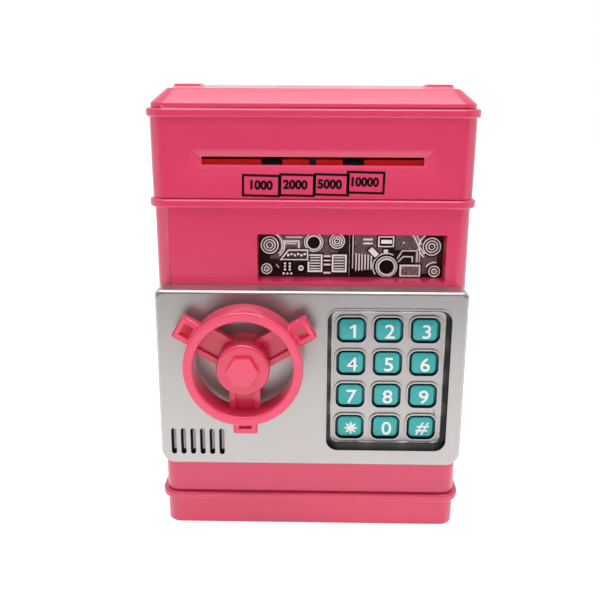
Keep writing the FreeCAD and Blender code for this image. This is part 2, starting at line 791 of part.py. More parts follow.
def rear_cover():
    """Screwed rear cover with the battery box moulded into it."""
    plate = panel(rear_width - 2 * part_gap, rear_height - 2 * part_gap, mouth_corner - part_gap, 0, rear_z,
                  case_back - wall, case_back)
    floor = cell_y - cell_radius - part_gap
    box = block((-box_half_x - box_wall, box_half_x + box_wall), (floor - box_wall, case_back - wall / 2),
                (rear_z - box_half_z - box_wall, rear_z + box_half_z + box_wall))
    well = block((-box_half_x, box_half_x), (floor, case_back + 1), (rear_z - box_half_z, rear_z + box_half_z))
    seat = block((-cover_half_x - part_gap, cover_half_x + part_gap), (cover_inner, case_back + 1),
                 (cover_low - cover_pivot, cover_high + part_gap))
    relief_groove = block((-cover_half_x - part_gap, cover_half_x + part_gap),
                          (cover_inner - 0.6, case_back + 1),
                          (cover_low - cover_pivot, cover_low + 2.4))
    pivots = rod(AXIS_X, cover_pivot + running_gap, (-cover_half_x - 1.2, cover_axis_y, cover_axis_z),
                 2 * cover_half_x + 2.4)
    cover = joined([plate, box]).cut([well, seat, relief_groove, pivots])
    cutters = []
    for x, z in rear_screw_points():
        cutters.append(rod(AXIS_Y, screw_radius + part_gap, (x, case_back - wall - 1, z), wall + 2))
        cutters.append(rod(AXIS_Y, screw_head + swing_gap, (x, case_back - flush_head_height, z), 2))
    return cover.cut(cutters)


def battery_cover():
    """Lid of the battery box; it tilts out about two small pins at its lower edge."""
    lid = block((-cover_half_x, cover_half_x), (cover_inner, case_back), (cover_low, cover_high))
    lid = lid.makeFillet(0.5, [e for e in lid.Edges if abs(e.BoundBox.XLength) > 1
                               and abs(e.BoundBox.ZMin - cover_low) < 1e-4 and e.BoundBox.ZLength < 1e-4])
    pins = [rod(AXIS_X, cover_pivot, (x, cover_axis_y, cover_axis_z), 1.0)
            for x in (-cover_half_x - 0.9, cover_half_x - 0.1)]
    dish = rod(AXIS_Z, 7.0, (0, case_back + 6.0, cover_high - 8), 6)
    ribs = [block((-8, 8), (case_back - 0.3, case_back + 0.35), span(cover_high - 12 - 2 * i, 0.8))
            for i in range(3)]
    return joined([lid.cut(dish)] + pins + ribs)


def battery_cells():
    cells = []
    for i in range(cell_count):
        side = 1 if i % 2 == 0 else -1
        z = rear_z + (i - (cell_count - 1) / 2) * cell_pitch
        can = rod(AXIS_X, cell_radius, (-cell_length / 2, cell_y, z), cell_length - cell_nub)
        nub = rod(AXIS_X, cell_nub_radius, (cell_length / 2 - cell_nub, cell_y, z), cell_nub)
        cell = can.fuse(nub)
        if side < 0:
            cell.rotate(Vector(0, cell_y, z), AXIS_Z, 180)
        cells.append(cell)
    return Part.makeCompound(cells)


def battery_contacts():
    """Leaf contacts on the end walls of the box, with a cone spring at each negative end."""
    pieces = []
    for i in range(cell_count):
        z = rear_z + (i - (cell_count - 1) / 2) * cell_pitch
        for side in (-1, 1):
            leaf = block(span(side * (box_half_x - running_gap - leaf_thickness / 2), leaf_thickness),
                         span(cell_y, leaf_width), span(z, leaf_height))
            gap = contact_room - running_gap - leaf_thickness
            start = Vector(side * (box_half_x - running_gap - leaf_thickness), cell_y, z)
            positive = (i % 2 == 0) == (side > 0)
            if positive:
                tip = Part.makeCylinder(leaf_tip_radius, gap - 0.1, start, AXIS_X * -side)
            else:
                tip = Part.makeCone(spring_foot_radius, spring_tip_radius, gap - 0.1, start, AXIS_X * -side)
            pieces.append(leaf.fuse(tip))
    return Part.makeCompound(pieces)


# ---------------------------------------------------------------- door
def door_blank():
    """Outer form of the door: rounded corners, eased front edge and a round heel at the hinge."""
    blank = panel(door_width, door_height, door_corner, 0, door_z, door_front, door_back)
    blank = blank.makeFillet(door_edge, depth_edges(blank, door_front))
    plan = block((-door_width, door_width / 2), (door_front - 1, door_back), (0, belt_height))
    heel = [e for e in plan.Edges if abs(e.BoundBox.XMin - door_width / 2) < 1e-4
            and abs(e.BoundBox.YMin - door_back) < 1e-4 and e.BoundBox.ZLength > 1]
    return blank.common(plan.makeFillet(door_heel, heel))


def tray_cutter():
    """Drafted recess for the keys, with a rounded foot."""
    slope = 2 * pad_draft / pad_recess
    over = 1.0
    mouth = facing(pad_mouth_width + slope * over, pad_mouth_height + slope * over, pad_mouth_corner + over / 3,
                   pad_x, pad_z, door_front - over)
    floor = facing(pad_mouth_width - 2 * pad_draft, pad_mouth_height - 2 * pad_draft,
                   pad_mouth_corner - pad_draft, pad_x, pad_z, pad_front)
    tray = Part.makeLoft([mouth, floor], True, True)
    return tray.makeFillet(pad_foot_round, depth_edges(tray, pad_front))


def key_places():
    return [(x, z) for z in key_rows for x in key_columns]


def key_panel(grow, corner, x, z, front, back):
    return panel(key_width + 2 * grow, key_height + 2 * grow, corner, x, z, front, back)


def obround(width, height, x, z, front, back):
    """Upright slot with round ends."""
    straight = height - width
    middle = block(span(x, width), (front, back), span(z, straight))
    ends = [rod(AXIS_Y, width / 2, (x, front, z + s * straight / 2), back - front) for s in (-1, 1)]
    return joined([middle] + ends)


def door_screw_places():
    margin = door_back_thickness + door_boss_radius + 2 * part_gap
    left = -plug_width / 2 + margin
    middle = pad_x - pad_mouth_width / 2 - box_wall - door_boss_radius - thin_wall
    high = mouth_z + plug_height / 2 - margin
    low = mouth_z - plug_height / 2 + margin
    return [(left, high), (middle, high), (middle, low), (wheel_x - door_boss_radius, low)]


def door_front_shell():
    outer = door_blank()
    inner = panel(door_width - 2 * door_wall, door_height - 2 * door_wall, door_corner - door_wall, 0, door_z,
                  skin_back, door_back + 1)
    top = door_bottom + door_height
    stile = block((stile_left, door_width), (skin_back - 0.5, door_back + 1), (door_bottom, top))
    well = panel(pad_mouth_width + 2 * box_wall, pad_mouth_height + 2 * box_wall, pad_mouth_corner + box_wall,
                 pad_x, pad_z, skin_back - 0.5, pad_back)
    rails = [block(span(pad_x, 2 * board_half_x), (pad_back - 0.5, mat_front),
                   sorted((key_z + s * (board_half_z - board_end_margin + part_gap), key_z + s * board_half_z)))
             for s in (-1, 1)]
    bead = panel(pad_mouth_width + 2 * bead_width, pad_mouth_height + 2 * bead_width,
                 pad_mouth_corner + bead_width, pad_x, pad_z, door_front - bead_height, door_front + 0.5)
    rims = [key_panel(key_gap + key_rim, key_corner + key_gap + key_rim, x, z, pad_front - key_rim_height,
                      pad_front + 0.3) for x, z in key_places()]
    wells = [key_panel(key_gap, key_corner + key_gap, x, z, pad_front - 2, pad_back + 1)
             for x, z in key_places()]
    bosses = [rod(AXIS_Y, door_boss_radius, (x, skin_back - 0.5, z), plug_back - door_back_thickness
                  - skin_back + 0.5) for x, z in door_screw_places()]
    bearing = rod(AXIS_Y, bearing_radius, (wheel_x, skin_back - 0.5, wheel_z), door_wall + 0.5)
    ribs = [block(span(wheel_x + s * (solenoid_width / 2 + part_gap + thin_wall / 2), thin_wall),
                  (skin_back - 0.5, plunger_y - 1), (solenoid_bottom, solenoid_top)) for s in (-1, 1)]
    shell = outer.cut(inner)
    shell = joined([shell, stile.common(outer), well, bead, bearing] + rails + bosses + ribs)
    shell = shell.cut(tray_cutter())
    shell = shell.fuse(rims).cut(wells)
    cutters = [obround(vent_width, vent_length, vent_first_x + i * vent_pitch, vent_z, door_front - 1,
                       skin_back + 1) for i in range(vent_count)]
    cutters.append(rod(AXIS_Y, shaft_radius + running_gap, (wheel_x, door_front - 1, wheel_z), door_wall * 3))
    for x, z in door_screw_places():
        cutters.append(rod(AXIS_Y, screw_radius + running_gap,
                           (x, plug_back - door_screw_length - 0.5, z), door_screw_length))
    for level in knuckle_levels:
        reach = knuckle_radius + swing_gap
        cutters.append(block((hinge_x - reach, door_width), (hinge_y - reach, door_back + 1),
                             span(level, knuckle_length + 4 * part_gap)))
        cutters.append(rod(AXIS_Z, pin_radius + running_gap, (hinge_x, hinge_y, level - pin_length / 2 - 0.2),
                           pin_length + 0.4))
    return shell.cut(cutters)


def door_back_cover():
    """Moulding that closes the door and plugs the vault mouth."""
    left = -door_width / 2 + door_wall + part_gap
    right = stile_left - part_gap
    flange = panel(right - left, door_height - 2 * door_wall - 2 * part_gap, door_corner - door_wall - part_gap,
                   (left + right) / 2, door_z, door_back - door_back_thickness, door_back)
    plug = panel(plug_width, plug_height, mouth_corner - plug_gap, 0, mouth_z, door_back - 0.5, plug_back)
    plug = plug.makeFillet(0.8, depth_edges(plug, plug_back))
    hollow = panel(plug_width - 2 * door_back_thickness, plug_height - 2 * door_back_thickness, 1.0, 0, mouth_z,
                   door_back - door_back_thickness - 1, plug_back - door_back_thickness)
    board_room = block(span(pad_x, 2 * (board_half_x + part_gap)), (door_back - door_back_thickness - 1,
                       board_back + part_gap), span(key_z, 2 * (board_half_z + part_gap)))
    stops = [rod(AXIS_Y, board_stop_radius, (pad_x + x, board_back, key_z + z),
                 plug_back - door_back_thickness / 2 - board_back)
             for x, z in corners(board_half_x - board_stop_inset, board_half_z - board_stop_inset)]
    cover = flange.fuse(plug).cut([hollow, board_room])
    cover = joined([cover] + stops)
    cutters = [rod(AXIS_Y, shaft_radius + running_gap, (wheel_x, plug_back - 4, wheel_z), 6)]
    for x, z in door_screw_places():
        cutters.append(rod(AXIS_Y, screw_radius + part_gap, (x, plug_back - 4, z), 6))
    for level in knuckle_levels:
        cutters.append(block((stile_left - part_gap, door_width), (hinge_y, plug_back + 1),
                             span(level, knuckle_length + 4 * part_gap)))
    return cover.cut(cutters)


def door_screws():
    return Part.makeCompound([screw(Vector(x, plug_back, z), AXIS_Y * -1, door_screw_length, screw_radius,
                                    screw_head, screw_head_height) for x, z in door_screw_places()])


def hinge_pins():
    return Part.makeCompound([rod(AXIS_Z, pin_radius, (hinge_x, hinge_y, level - pin_length / 2), pin_length)
                              for level in knuckle_levels])


# ---------------------------------------------------------------- keypad and speaker
def key(x, z):
    """One key: eased cap in front, flange behind that stops it in its well."""
    cap = key_panel(0, key_corner, x, z, key_front, key_seat + key_flange_thickness / 2)
    cap = cap.makeFillet(key_edge, depth_edges(cap, key_front))
    flange = key_panel(key_flange, key_corner, x, z, key_seat, key_seat + key_flange_thickness)
    return joined([cap, flange])


def keypad_mat():
    return panel(2 * board_half_x, 2 * board_half_z, thin_wall, pad_x, key_z, mat_front, board_front)


def keypad_board():
    """Key contact board with its controller and a connector on the back."""
    board = panel(2 * board_half_x, 2 * board_half_z, thin_wall, pad_x, key_z, board_front, board_back)
    chip = block(span(pad_x, 10), (board_back, board_back + 1.2), span(key_z + 8, 10))
    plug = block(span(pad_x - 6, 12), (board_back, board_back + 2.0), span(key_z - 16, 5))
    return joined([board, chip, plug])


def speaker():
    """Flat speaker behind the slots: basket, then magnet."""
    basket = rod(AXIS_Y, speaker_radius, (speaker_x, skin_back, speaker_z), speaker_depth * 0.4)
    cone = Part.makeCone(speaker_radius - 1, magnet_radius + 1.5, speaker_depth * 0.6,
                         Vector(speaker_x, skin_back + speaker_depth * 0.4, speaker_z), AXIS_Y)
    magnet = rod(AXIS_Y, magnet_radius, (speaker_x, skin_back + speaker_depth, speaker_z), magnet_depth)
    return joined([basket, cone, magnet])


# ---------------------------------------------------------------- handwheel and lock
def wheel_spoke(turn):
    """Channel spoke that runs from the hub through the ring and ends in a square lug."""
    inside = hub_radius - 2
    reach = ring_radius + lug_reach
    front = ring_back - spoke_depth
    bar = block(span(0, spoke_width), (front, ring_back), (-ring_inner - 1, -inside))
    channel = block(span(0, spoke_channel), (front - 1, front + spoke_channel_depth),
                    (-ring_inner, -inside))
    lug = block(span(0, lug_width), (front, ring_back), (-reach, -ring_inner - 1))
    lug = lug.makeFillet(0.7, [e for e in lug.Edges if abs(e.BoundBox.ZMin + reach) < 1e-4
                               and e.BoundBox.ZLength < 1e-4 and e.BoundBox.YLength > 1])
    lug = lug.makeChamfer(0.5, depth_edges(lug, front))
    pocket = block(span(0, lug_pocket), (front - 1, front + spoke_channel_depth),
                   (-reach + lug_rim, -ring_radius - 0.6))
    arm = joined([bar.cut(channel), lug.cut(pocket)])
    arm.rotate(ORIGIN, AXIS_Y, turn)
    arm.translate(Vector(wheel_x, 0, wheel_z))
    return arm


def handwheel():
    """Ring, hub with a raised hexagon, and three channel spokes that end in lugs."""
    ring = tube(AXIS_Y, ring_radius, ring_inner, (wheel_x, ring_front, wheel_z), ring_depth)
    ring = ring.makeFillet(0.9, depth_edges(ring, ring_front))
    hub = rod(AXIS_Y, hub_radius, (wheel_x, ring_front, wheel_z), door_front - hub_gap - ring_front)
    hub = hub.makeFillet(1.2, depth_edges(hub, ring_front))
    points = [Vector(wheel_x + nut_across_corners / 2 * cos(i * pi / 3), ring_front - nut_height,
                     wheel_z + nut_across_corners / 2 * sin(i * pi / 3)) for i in range(7)]
    nut = Part.Face(Part.makePolygon(points)).extrude(Vector(0, nut_height + 1, 0))
    nut = nut.makeFillet(0.4, depth_edges(nut, ring_front - nut_height))
    spokes = [wheel_spoke(360 / spoke_count * i) for i in range(spoke_count)]
    wheel = joined([ring, hub, nut] + spokes)
    return wheel.cut(rod(AXIS_Y, shaft_radius + running_gap / 2, (wheel_x, shaft_front, wheel_z), 30))


def keyed_bore(front, back):
    """Bore with a flat, for what turns with the shaft."""
    hole = rod(AXIS_Y, shaft_radius + running_gap, (wheel_x, front - 1, wheel_z), back - front + 2)
    flat = wheel_z + shaft_flat + running_gap
    return hole.cut(block(span(wheel_x, 8), (front - 2, back + 2), (flat, flat + 4)))


def wheel_shaft():
    """Steel shaft with a collar, and a flat along the stretch that carries the disc and the arm."""
    end = latch_back - running_gap
    shaft = rod(AXIS_Y, shaft_radius, (wheel_x, shaft_front, wheel_z), end - shaft_front)
    collar = rod(AXIS_Y, shaft_radius + 1.2, (wheel_x, collar_back - collar_thickness, wheel_z),
                 collar_thickness)
    flat = wheel_z + shaft_flat
    cut = block(span(wheel_x, 8), (collar_back, end + 1), (flat, flat + 4))
    bore = rod(AXIS_Y, screw_radius + running_gap, (wheel_x, end - small_screw_length - 1, wheel_z), 9)
    return joined([shaft, collar]).cut([cut, bore])


def lock_disc():
    """Disc with a notch for each end of the wheel's turn."""
    front = disc_back - disc_thickness
    disc = rod(AXIS_Y, disc_radius, (wheel_x, front, wheel_z), disc_thickness)
    notch = block(span(wheel_x, disc_notch_width), (front - 1, disc_back + 1),
                  (wheel_z - disc_radius - 1, wheel_z - disc_radius + disc_notch_depth))
    second = notch.copy()
    second.rotate(Vector(wheel_x, 0, wheel_z), AXIS_Y, -90)
    return disc.cut([notch, second, keyed_bore(front, disc_back)])


def latch_arm():
    """Arm that swings behind the jamb when the wheel is turned."""
    hub = rod(AXIS_Y, latch_width * 0.75, (wheel_x, latch_front, wheel_z), latch_thickness)
    tip = rod(AXIS_Y, latch_width / 2, (wheel_x, latch_front, wheel_z - latch_reach + latch_width / 2),
              latch_thickness)
    bar = block(span(wheel_x, latch_width), (latch_front, latch_back),
                (wheel_z - latch_reach + latch_width / 2, wheel_z))
    return joined([hub, tip, bar]).cut(keyed_bore(latch_front, latch_back))


def arm_screw():
    return screw(Vector(wheel_x, latch_back, wheel_z), AXIS_Y * -1, small_screw_length, screw_radius,
                 shaft_radius + 1, screw_head_height)


def solenoid():
    """Open steel frame round a wound bobbin."""
    depth = 2 * (plunger_y - skin_back)
    frame = block(span(wheel_x, solenoid_width), (skin_back, skin_back + depth),
                  (solenoid_bottom, solenoid_top))
    window = block(span(wheel_x, solenoid_width + 2), (skin_back + 1.2, skin_back + depth + 1),
                   (solenoid_bottom + 1.2, solenoid_top - 1.2))
    coil = rod(AXIS_Z, depth / 2 - 0.4, (wheel_x, plunger_y, solenoid_bottom), solenoid_height)
    bore = rod(AXIS_Z, plunger_radius + running_gap, (wheel_x, plunger_y, solenoid_bottom - 1),
               solenoid_height + 2)
    return joined([frame.cut(window), coil]).cut(bore)


def lock_plunger():
    """Core of the solenoid; its tip enters a notch of the disc."""
    core = rod(AXIS_Z, plunger_radius, (wheel_x, plunger_y, solenoid_bottom + 1),
               plunger_top - solenoid_bottom - 1)
    collar = rod(AXIS_Z, plunger_radius + 1.2, (wheel_x, plunger_y, collar_z), plunger_collar)
    return joined([core, collar])


def plunger_spring():
    """Open tension coil that draws the plunger back down."""
    height = spring_height - 2 * spring_wire
    helix = Part.makeHelix(height / spring_turns, height, spring_radius)
    start = helix.Edges[0]
    profile = Part.Wire(Part.makeCircle(spring_wire, start.valueAt(start.FirstParameter),
                                        start.tangentAt(start.FirstParameter)))
    coil = Part.Wire(helix.Edges).makePipeShell([profile], True, True)
    coil.translate(Vector(wheel_x, plunger_y, solenoid_top + spring_wire))
    return coil


# ---------------------------------------------------------------- banknote feeder
def roller(centre, radius):
    """Drum along X with grooves for the tyres and a waist that clears the note lever."""
    y, z = centre
    drum = rod(AXIS_X, radius, (-drum_half_length, y, z), 2 * drum_half_length)
    cutters = [rod(AXIS_X, feed_shaft_radius + running_gap / 2, (-drum_half_length - 1, y, z),
                   2 * drum_half_length + 2)]
    for x in (-tyre_reach, tyre_reach):
        cutters.append(tube(AXIS_X, radius + 1, radius - tyre_groove, (x - tyre_width / 2, y, z), tyre_width))
    waist = tube(AXIS_X, radius + 1, radius - 4 * tyre_groove, (-centre_groove / 2, y, z), centre_groove)
    cutters.append(waist)
    return drum.cut(cutters)


def tyres(centre, radius, seat):
    """Rubber tyres of one roller."""
    y, z = centre
    width = tyre_width - 2 * running_gap
    return Part.makeCompound([tube(AXIS_X, radius, seat, (x - width / 2, y, z), width)
                              for x in (-tyre_reach, tyre_reach)])


def roller_shaft(centre, right):
    y, z = centre
    left = -cheek_out - shaft_stub
    return rod(AXIS_X, feed_shaft_radius, (left, y, z), right - left)


def spur(teeth, left, centre, tooth_angle, bore):
    """Involute spur gear about X, with one tooth centred on tooth_angle."""
    pitch = pitch_radius(teeth)
    pressure = radians(20)
    base = pitch * cos(pressure)
    root, tip = pitch - 1.25 * gear_module, pitch + 0.9 * gear_module
    half = (pi * gear_module / 2 - gear_backlash) / (2 * pitch) + tan(pressure) - pressure

    def half_angle(radius):
        if radius <= base:
            return half
        slope = acos(base / radius)
        return half - tan(slope) + slope

    radii = [root, max(root, base), pitch, tip]
    if base <= root:
        radii = [root, pitch, tip]
    points = []
    for i in range(teeth):
        middle = radians(tooth_angle) + 2 * pi * i / teeth
        flank = [(radius, -half_angle(radius)) for radius in radii]
        flank += [(radius, half_angle(radius)) for radius in reversed(radii)]
        points += [Vector(left, centre[0] + radius * cos(middle + turn),
                          centre[1] + radius * sin(middle + turn))
                   for radius, turn in flank]
    points.append(points[0])
    blank = Part.Face(Part.makePolygon(points)).extrude(Vector(gear_width, 0, 0))
    return blank.cut(rod(AXIS_X, bore, (left - 1, *centre), gear_width + 2))


def facing_gap(angle, teeth):
    """Tooth angle that puts a gap on the line back to the gear before."""
    return angle + 180 + 180 / teeth


def feed_gear():
    return spur(feed_teeth, gear_left, feed_centre, mesh_angles[0], feed_shaft_radius + running_gap / 2)


def compound_gear(centre, plane, small, small_angle, big, big_angle):
    """Small and big gear in one moulding, on planes next to each other."""
    bore = axle_radius + running_gap
    left = gear_left + plane * gear_step
    small_gear = spur(small, left, centre, small_angle, bore)
    big_gear = spur(big, left + gear_step, centre, big_angle, bore)
    neck = tube(AXIS_X, pitch_radius(small) - 1.25 * gear_module, bore, (left + gear_width - 0.5, *centre),
                gear_step - gear_width + 1.0)
    return joined([small_gear, big_gear, neck])


def transfer_gear():
    return compound_gear(transfer_centre, 0, transfer_small_teeth,
                         facing_gap(mesh_angles[0], transfer_small_teeth), transfer_big_teeth, mesh_angles[1])


def reduction_gear():
    return compound_gear(reduction_centre, 1, reduction_small_teeth,
                         facing_gap(mesh_angles[1], reduction_small_teeth), reduction_big_teeth, mesh_angles[2])


def motor_pinion():
    """Brass pinion on the motor's shaft."""
    left = gear_left + 2 * gear_step
    gear = spur(pinion_teeth, left, motor_centre, facing_gap(mesh_angles[2], pinion_teeth), axle_radius / 2)
    start = cheek_half_span - 6
    shaft = rod(AXIS_X, axle_radius, (start, *motor_centre), left + gear_width - start)
    return joined([gear, shaft])


def motor():
    """Small flat-sided motor behind the right cheek."""
    y, z = motor_centre
    can = rod(AXIS_X, motor_width / 2, (motor_left, y, z), motor_length)
    flats = block((motor_left - 1, cheek_half_span + 1), span(y, motor_flat), span(z, motor_width + 2))
    can = can.common(flats)
    nose = rod(AXIS_X, motor_nose, (cheek_half_span - 1, y, z), cheek_thickness)
    tail = rod(AXIS_X, motor_tail_radius, (motor_left - motor_tail, y, z), motor_tail + 0.5)
    bore = rod(AXIS_X, axle_radius + running_gap, (cheek_half_span - 7, y, z), 12)
    return joined([can, nose, tail]).cut(bore)


def gear_axles():
    return Part.makeCompound([rod(AXIS_X, axle_radius, (cheek_half_span, *centre),
                                  side_plate_right - cheek_half_span)
                              for centre in (transfer_centre, reduction_centre)])


def gear_side_plate():
    """Plate that carries the outer ends of the axles, on two spacers."""
    plate = block((side_plate_left, side_plate_right),
                  (transfer_centre[0] - 3, reduction_centre[0] + 3), (cheek_bottom, cheek_top))
    plate = plate.makeFillet(2.5, [e for e in plate.Edges if e.BoundBox.XLength > 1])
    spacers = [rod(AXIS_X, spacer_radius, (cheek_out, spacer_y, z), side_plate_left - cheek_out + 0.5)
               for z in spacer_levels]
    holes = [rod(AXIS_X, axle_radius + running_gap / 2, (side_plate_left - 1, *centre), 6)
             for centre in (transfer_centre, reduction_centre)]
    return joined([plate] + spacers).cut(holes)


def bend(inner, thickness):
    """Quarter turn of a note guide, then its straight run down."""
    centre_z = note_floor - bend_radius
    half = cheek_half_span + 0.5
    outer = inner + thickness
    arc = tube(AXIS_X, outer, inner, (-half, bend_y, centre_z), 2 * half)
    quarter = block((-half, half), (bend_y, bend_y + outer + 1), (centre_z, centre_z + outer + 1))
    arc = arc.common(quarter)
    drop = block((-half, half), (bend_y + inner, bend_y + outer), (centre_z - guide_drop, centre_z))
    return [arc, drop]


def cheek(side, back):
    """End plate that carries the roller shafts, with its screw tabs."""
    low, high = sorted((side * cheek_half_span, side * cheek_out))
    front = inner_front + 0.5
    plate = block((low, high), (front, back), (cheek_bottom, cheek_top))
    plate = plate.makeFillet(3.0, [e for e in plate.Edges if e.BoundBox.XLength > 1])
    tab_y = (inner_front + feeder_boss_reach, inner_front + feeder_boss_reach + guide_thickness)
    tabs = []
    for z in feeder_boss_levels:
        low, high = sorted((side * cheek_half_span, side * (feeder_boss_x + feeder_boss_radius)))
        tab = block((low, high), tab_y, span(z, 2 * feeder_boss_radius))
        hole = rod(AXIS_Y, small_screw_radius + part_gap, (side * feeder_boss_x, tab_y[0] - 1, z), 5)
        tabs.append(tab.cut(hole))
    return joined([plate] + tabs)


def feeder_frame():
    """Frame with the note guides and the cheeks for rollers, axles and motor."""
    motor_back = motor_centre[0] + motor_flat / 2 + 1.5
    half = cheek_half_span + 0.5
    floor = block((-half, half), (roller_y + tyre_radius + 0.6, bend_y),
                  (note_floor - guide_thickness, note_floor))
    roof_low = note_floor + note_gap
    roof = block((-half, half), (roller_y + idler_tyre_radius + 1.2, bend_y),
                 (roof_low, roof_low + guide_thickness))
    pieces = [cheek(-1, cheek_back), cheek(1, motor_back), floor, roof]
    pieces += bend(bend_radius - guide_thickness, guide_thickness)
    pieces += bend(bend_radius + note_gap, guide_thickness)
    frame = joined(pieces)
    holes = []
    for z in (roller_z, idler_z):
        holes.append(rod(AXIS_X, feed_shaft_radius + running_gap, (-cheek_out - 1, roller_y, z),
                         2 * cheek_out + 2))
    for centre in (transfer_centre, reduction_centre):
        holes.append(rod(AXIS_X, axle_radius + running_gap / 2, (cheek_half_span - 1, *centre), 5))
    holes.append(rod(AXIS_X, motor_nose + part_gap, (cheek_half_span - 1, *motor_centre), 5))
    return frame.cut(holes)


def note_lever():
    """Lever that hangs across the slot and feels the banknote."""
    barrel_half = lever_lug_half - lever_lug_thickness / 2 - part_gap
    pin_half = lever_lug_half + lever_lug_thickness / 2
    barrel = rod(AXIS_X, lever_pivot * 1.75, (-barrel_half, lever_y, lever_level), 2 * barrel_half)
    pins = rod(AXIS_X, lever_pivot, (-pin_half, lever_y, lever_level), 2 * pin_half)
    arm = block(span(0, lever_arm_width), span(lever_y, lever_arm_thickness),
                (slot_level - slot_height / 2 - part_gap, lever_level + switch_rise - 3 * part_gap))
    return joined([barrel, pins, arm])


def note_switch():
    """Small switch that the lever works, on the inside of the front wall."""
    low = lever_level + switch_rise
    case = block(span(0, switch_width), (inner_front, inner_front + switch_depth), (low, low + switch_height))
    button = rod(AXIS_Z, lever_pivot, (0, lever_y, low - 2 * part_gap), 1)
    return joined([case, button])


# ---------------------------------------------------------------- relief panel
def raised_disc(x, z, radius, height):
    return rod(AXIS_Y, radius, (x, panel_front - height, z), height + 0.5)


def raised_ring(x, z, outer, inner, height):
    ring = raised_disc(x, z, outer, height)
    return ring.cut(rod(AXIS_Y, inner, (x, panel_front - height - 1, z), height + 2))


def bolt(x, z, radius):
    """Bolt head inside two rings."""
    return [raised_ring(x, z, radius, radius * 0.78, relief),
            raised_ring(x, z, radius * 0.6, radius * 0.42, relief),
            raised_disc(x, z, radius * 0.26, relief)]


def port(x, z, radius):
    """Round port: a thick collar about a dark bore."""
    return [raised_ring(x, z, radius, radius * 0.84, relief * 0.7),
            raised_ring(x, z, radius * 0.84, radius * 0.62, relief * 1.6)]


def raised_block(x, z, width, height, rise, turn=0):
    piece = block(span(x, width), (panel_front - rise, panel_front + 0.5), span(z, height))
    if turn:
        piece.rotate(Vector(x, 0, z), AXIS_Y, turn)
    return piece


def louvre(x, z, width, height, slats):
    """Framed grille of level slats."""
    frame = raised_block(x, z, width, height, relief)
    frame = frame.cut(block(span(x, width - 1.2), (panel_front - 3, panel_front), span(z, height - 1.2)))
    pitch = (height - 1.2) / slats
    return [frame] + [raised_block(x, z - (height - 1.2) / 2 + pitch * (i + 0.5), width - 1.0, pitch * 0.55,
                                   relief * 0.8) for i in range(slats)]


def framed(x, z, width, height, rise, turn=0):
    """Block with a sunk face inside a thin rim."""
    piece = block(span(x, width), (panel_front - rise, panel_front + 0.5), span(z, height))
    piece = piece.cut(block(span(x, width - 1.0), (panel_front - rise - 1, panel_front - rise / 2),
                            span(z, height - 1.0)))
    if turn:
        piece.rotate(Vector(x, 0, z), AXIS_Y, turn)
    return piece


def bent_pipe(points, width, rise):
    """Flat pipe that follows a bent line."""
    pieces = []
    for (x0, z0), (x1, z1) in zip(points, points[1:]):
        length = sqrt((x1 - x0) ** 2 + (z1 - z0) ** 2)
        turn = -180 / pi * acos((x1 - x0) / length) * (1 if z1 >= z0 else -1)
        pieces.append(raised_block((x0 + x1) / 2, (z0 + z1) / 2, length, width, rise, turn))
    pieces += [raised_disc(x, z, width / 2, rise) for x, z in points]
    return pieces


def relief_motifs():
    """Moulded machinery, placed from the middle of the window."""
    end = window_width / 2 - bolt_from_end
    pieces = bolt(-end, 3.4, 3.6) + bolt(-end - bolt_offset, -6.8, 2.2)
    pieces += bolt(end, 3.1, 3.7) + bolt(end + bolt_offset, -7.2, 2.4)
    pieces += bolt(-5.0, 5.2, 3.3)
    pieces += port(-15.2, 4.6, 3.9) + port(15.1, -5.3, 5.0)
    pieces += louvre(-15.0, -4.2, 6.4, 7.0, 5) + louvre(-4.9, -4.2, 6.4, 7.0, 5)
    pieces += [raised_block(-9.8, -3.8 + i * 2.0, 3.0, 1.3, relief * (0.7 + 0.2 * (i % 2)))
               for i in range(-2, 3)]
    pieces += bent_pipe([(-27.0, 6.4), (-21.5, 6.4), (-21.5, 3.4)], 1.3, relief)
    pieces += [raised_block(-24.6, 4.6, 2.4, 0.7, relief * 0.7), framed(-23.4, -0.6, 8.6, 4.4, relief * 1.1)]
    pieces += [framed(-26.5, -6.4, 4.0, 5.8, relief * 0.9)]
    pieces += [raised_block(-27.4 + 1.8 * (i % 2), -8.0 + 1.7 * (i // 2), 0.9, 0.8, relief * 1.2)
               for i in range(6)]
    pieces += [raised_ring(-21.4, -6.4, 1.3, 0.5, relief)]
    pieces += [raised_block(0.8, 0, 0.7, window_height - 1.0, relief)]
    pieces += [raised_block(1.9 + 1.2 * i, -3.2, 0.6, 7.2 - 0.4 * i, relief) for i in range(6)]
    pieces += [raised_block(6.7, 5.9 - 1.9 * i, 3.6, 0.8, relief * 0.8) for i in range(2)]
    pieces += [framed(14.4, 4.6, 6.6, 4.4, relief * 1.2), raised_block(14.4, 1.6, 2.0, 1.6, relief * 0.8)]
    pieces += [framed(9.7, 0.6, 4.4, 1.8, relief, 45)]
    pieces += bent_pipe([(19.0, -3.4), (19.0, -1.4), (20.6, 0.2), (27.4, 0.2), (27.4, -3.0)], 1.3, relief)
    pieces += [raised_block(23.4, -1.9, 4.6, 0.8, relief * 0.7), framed(24.9, -7.0, 8.2, 4.6, relief * 0.8)]
    pieces += bent_pipe([(24.6, 7.4), (27.6, 2.6), (30.4, -0.6)], 0.8, relief * 0.8)
    return pieces


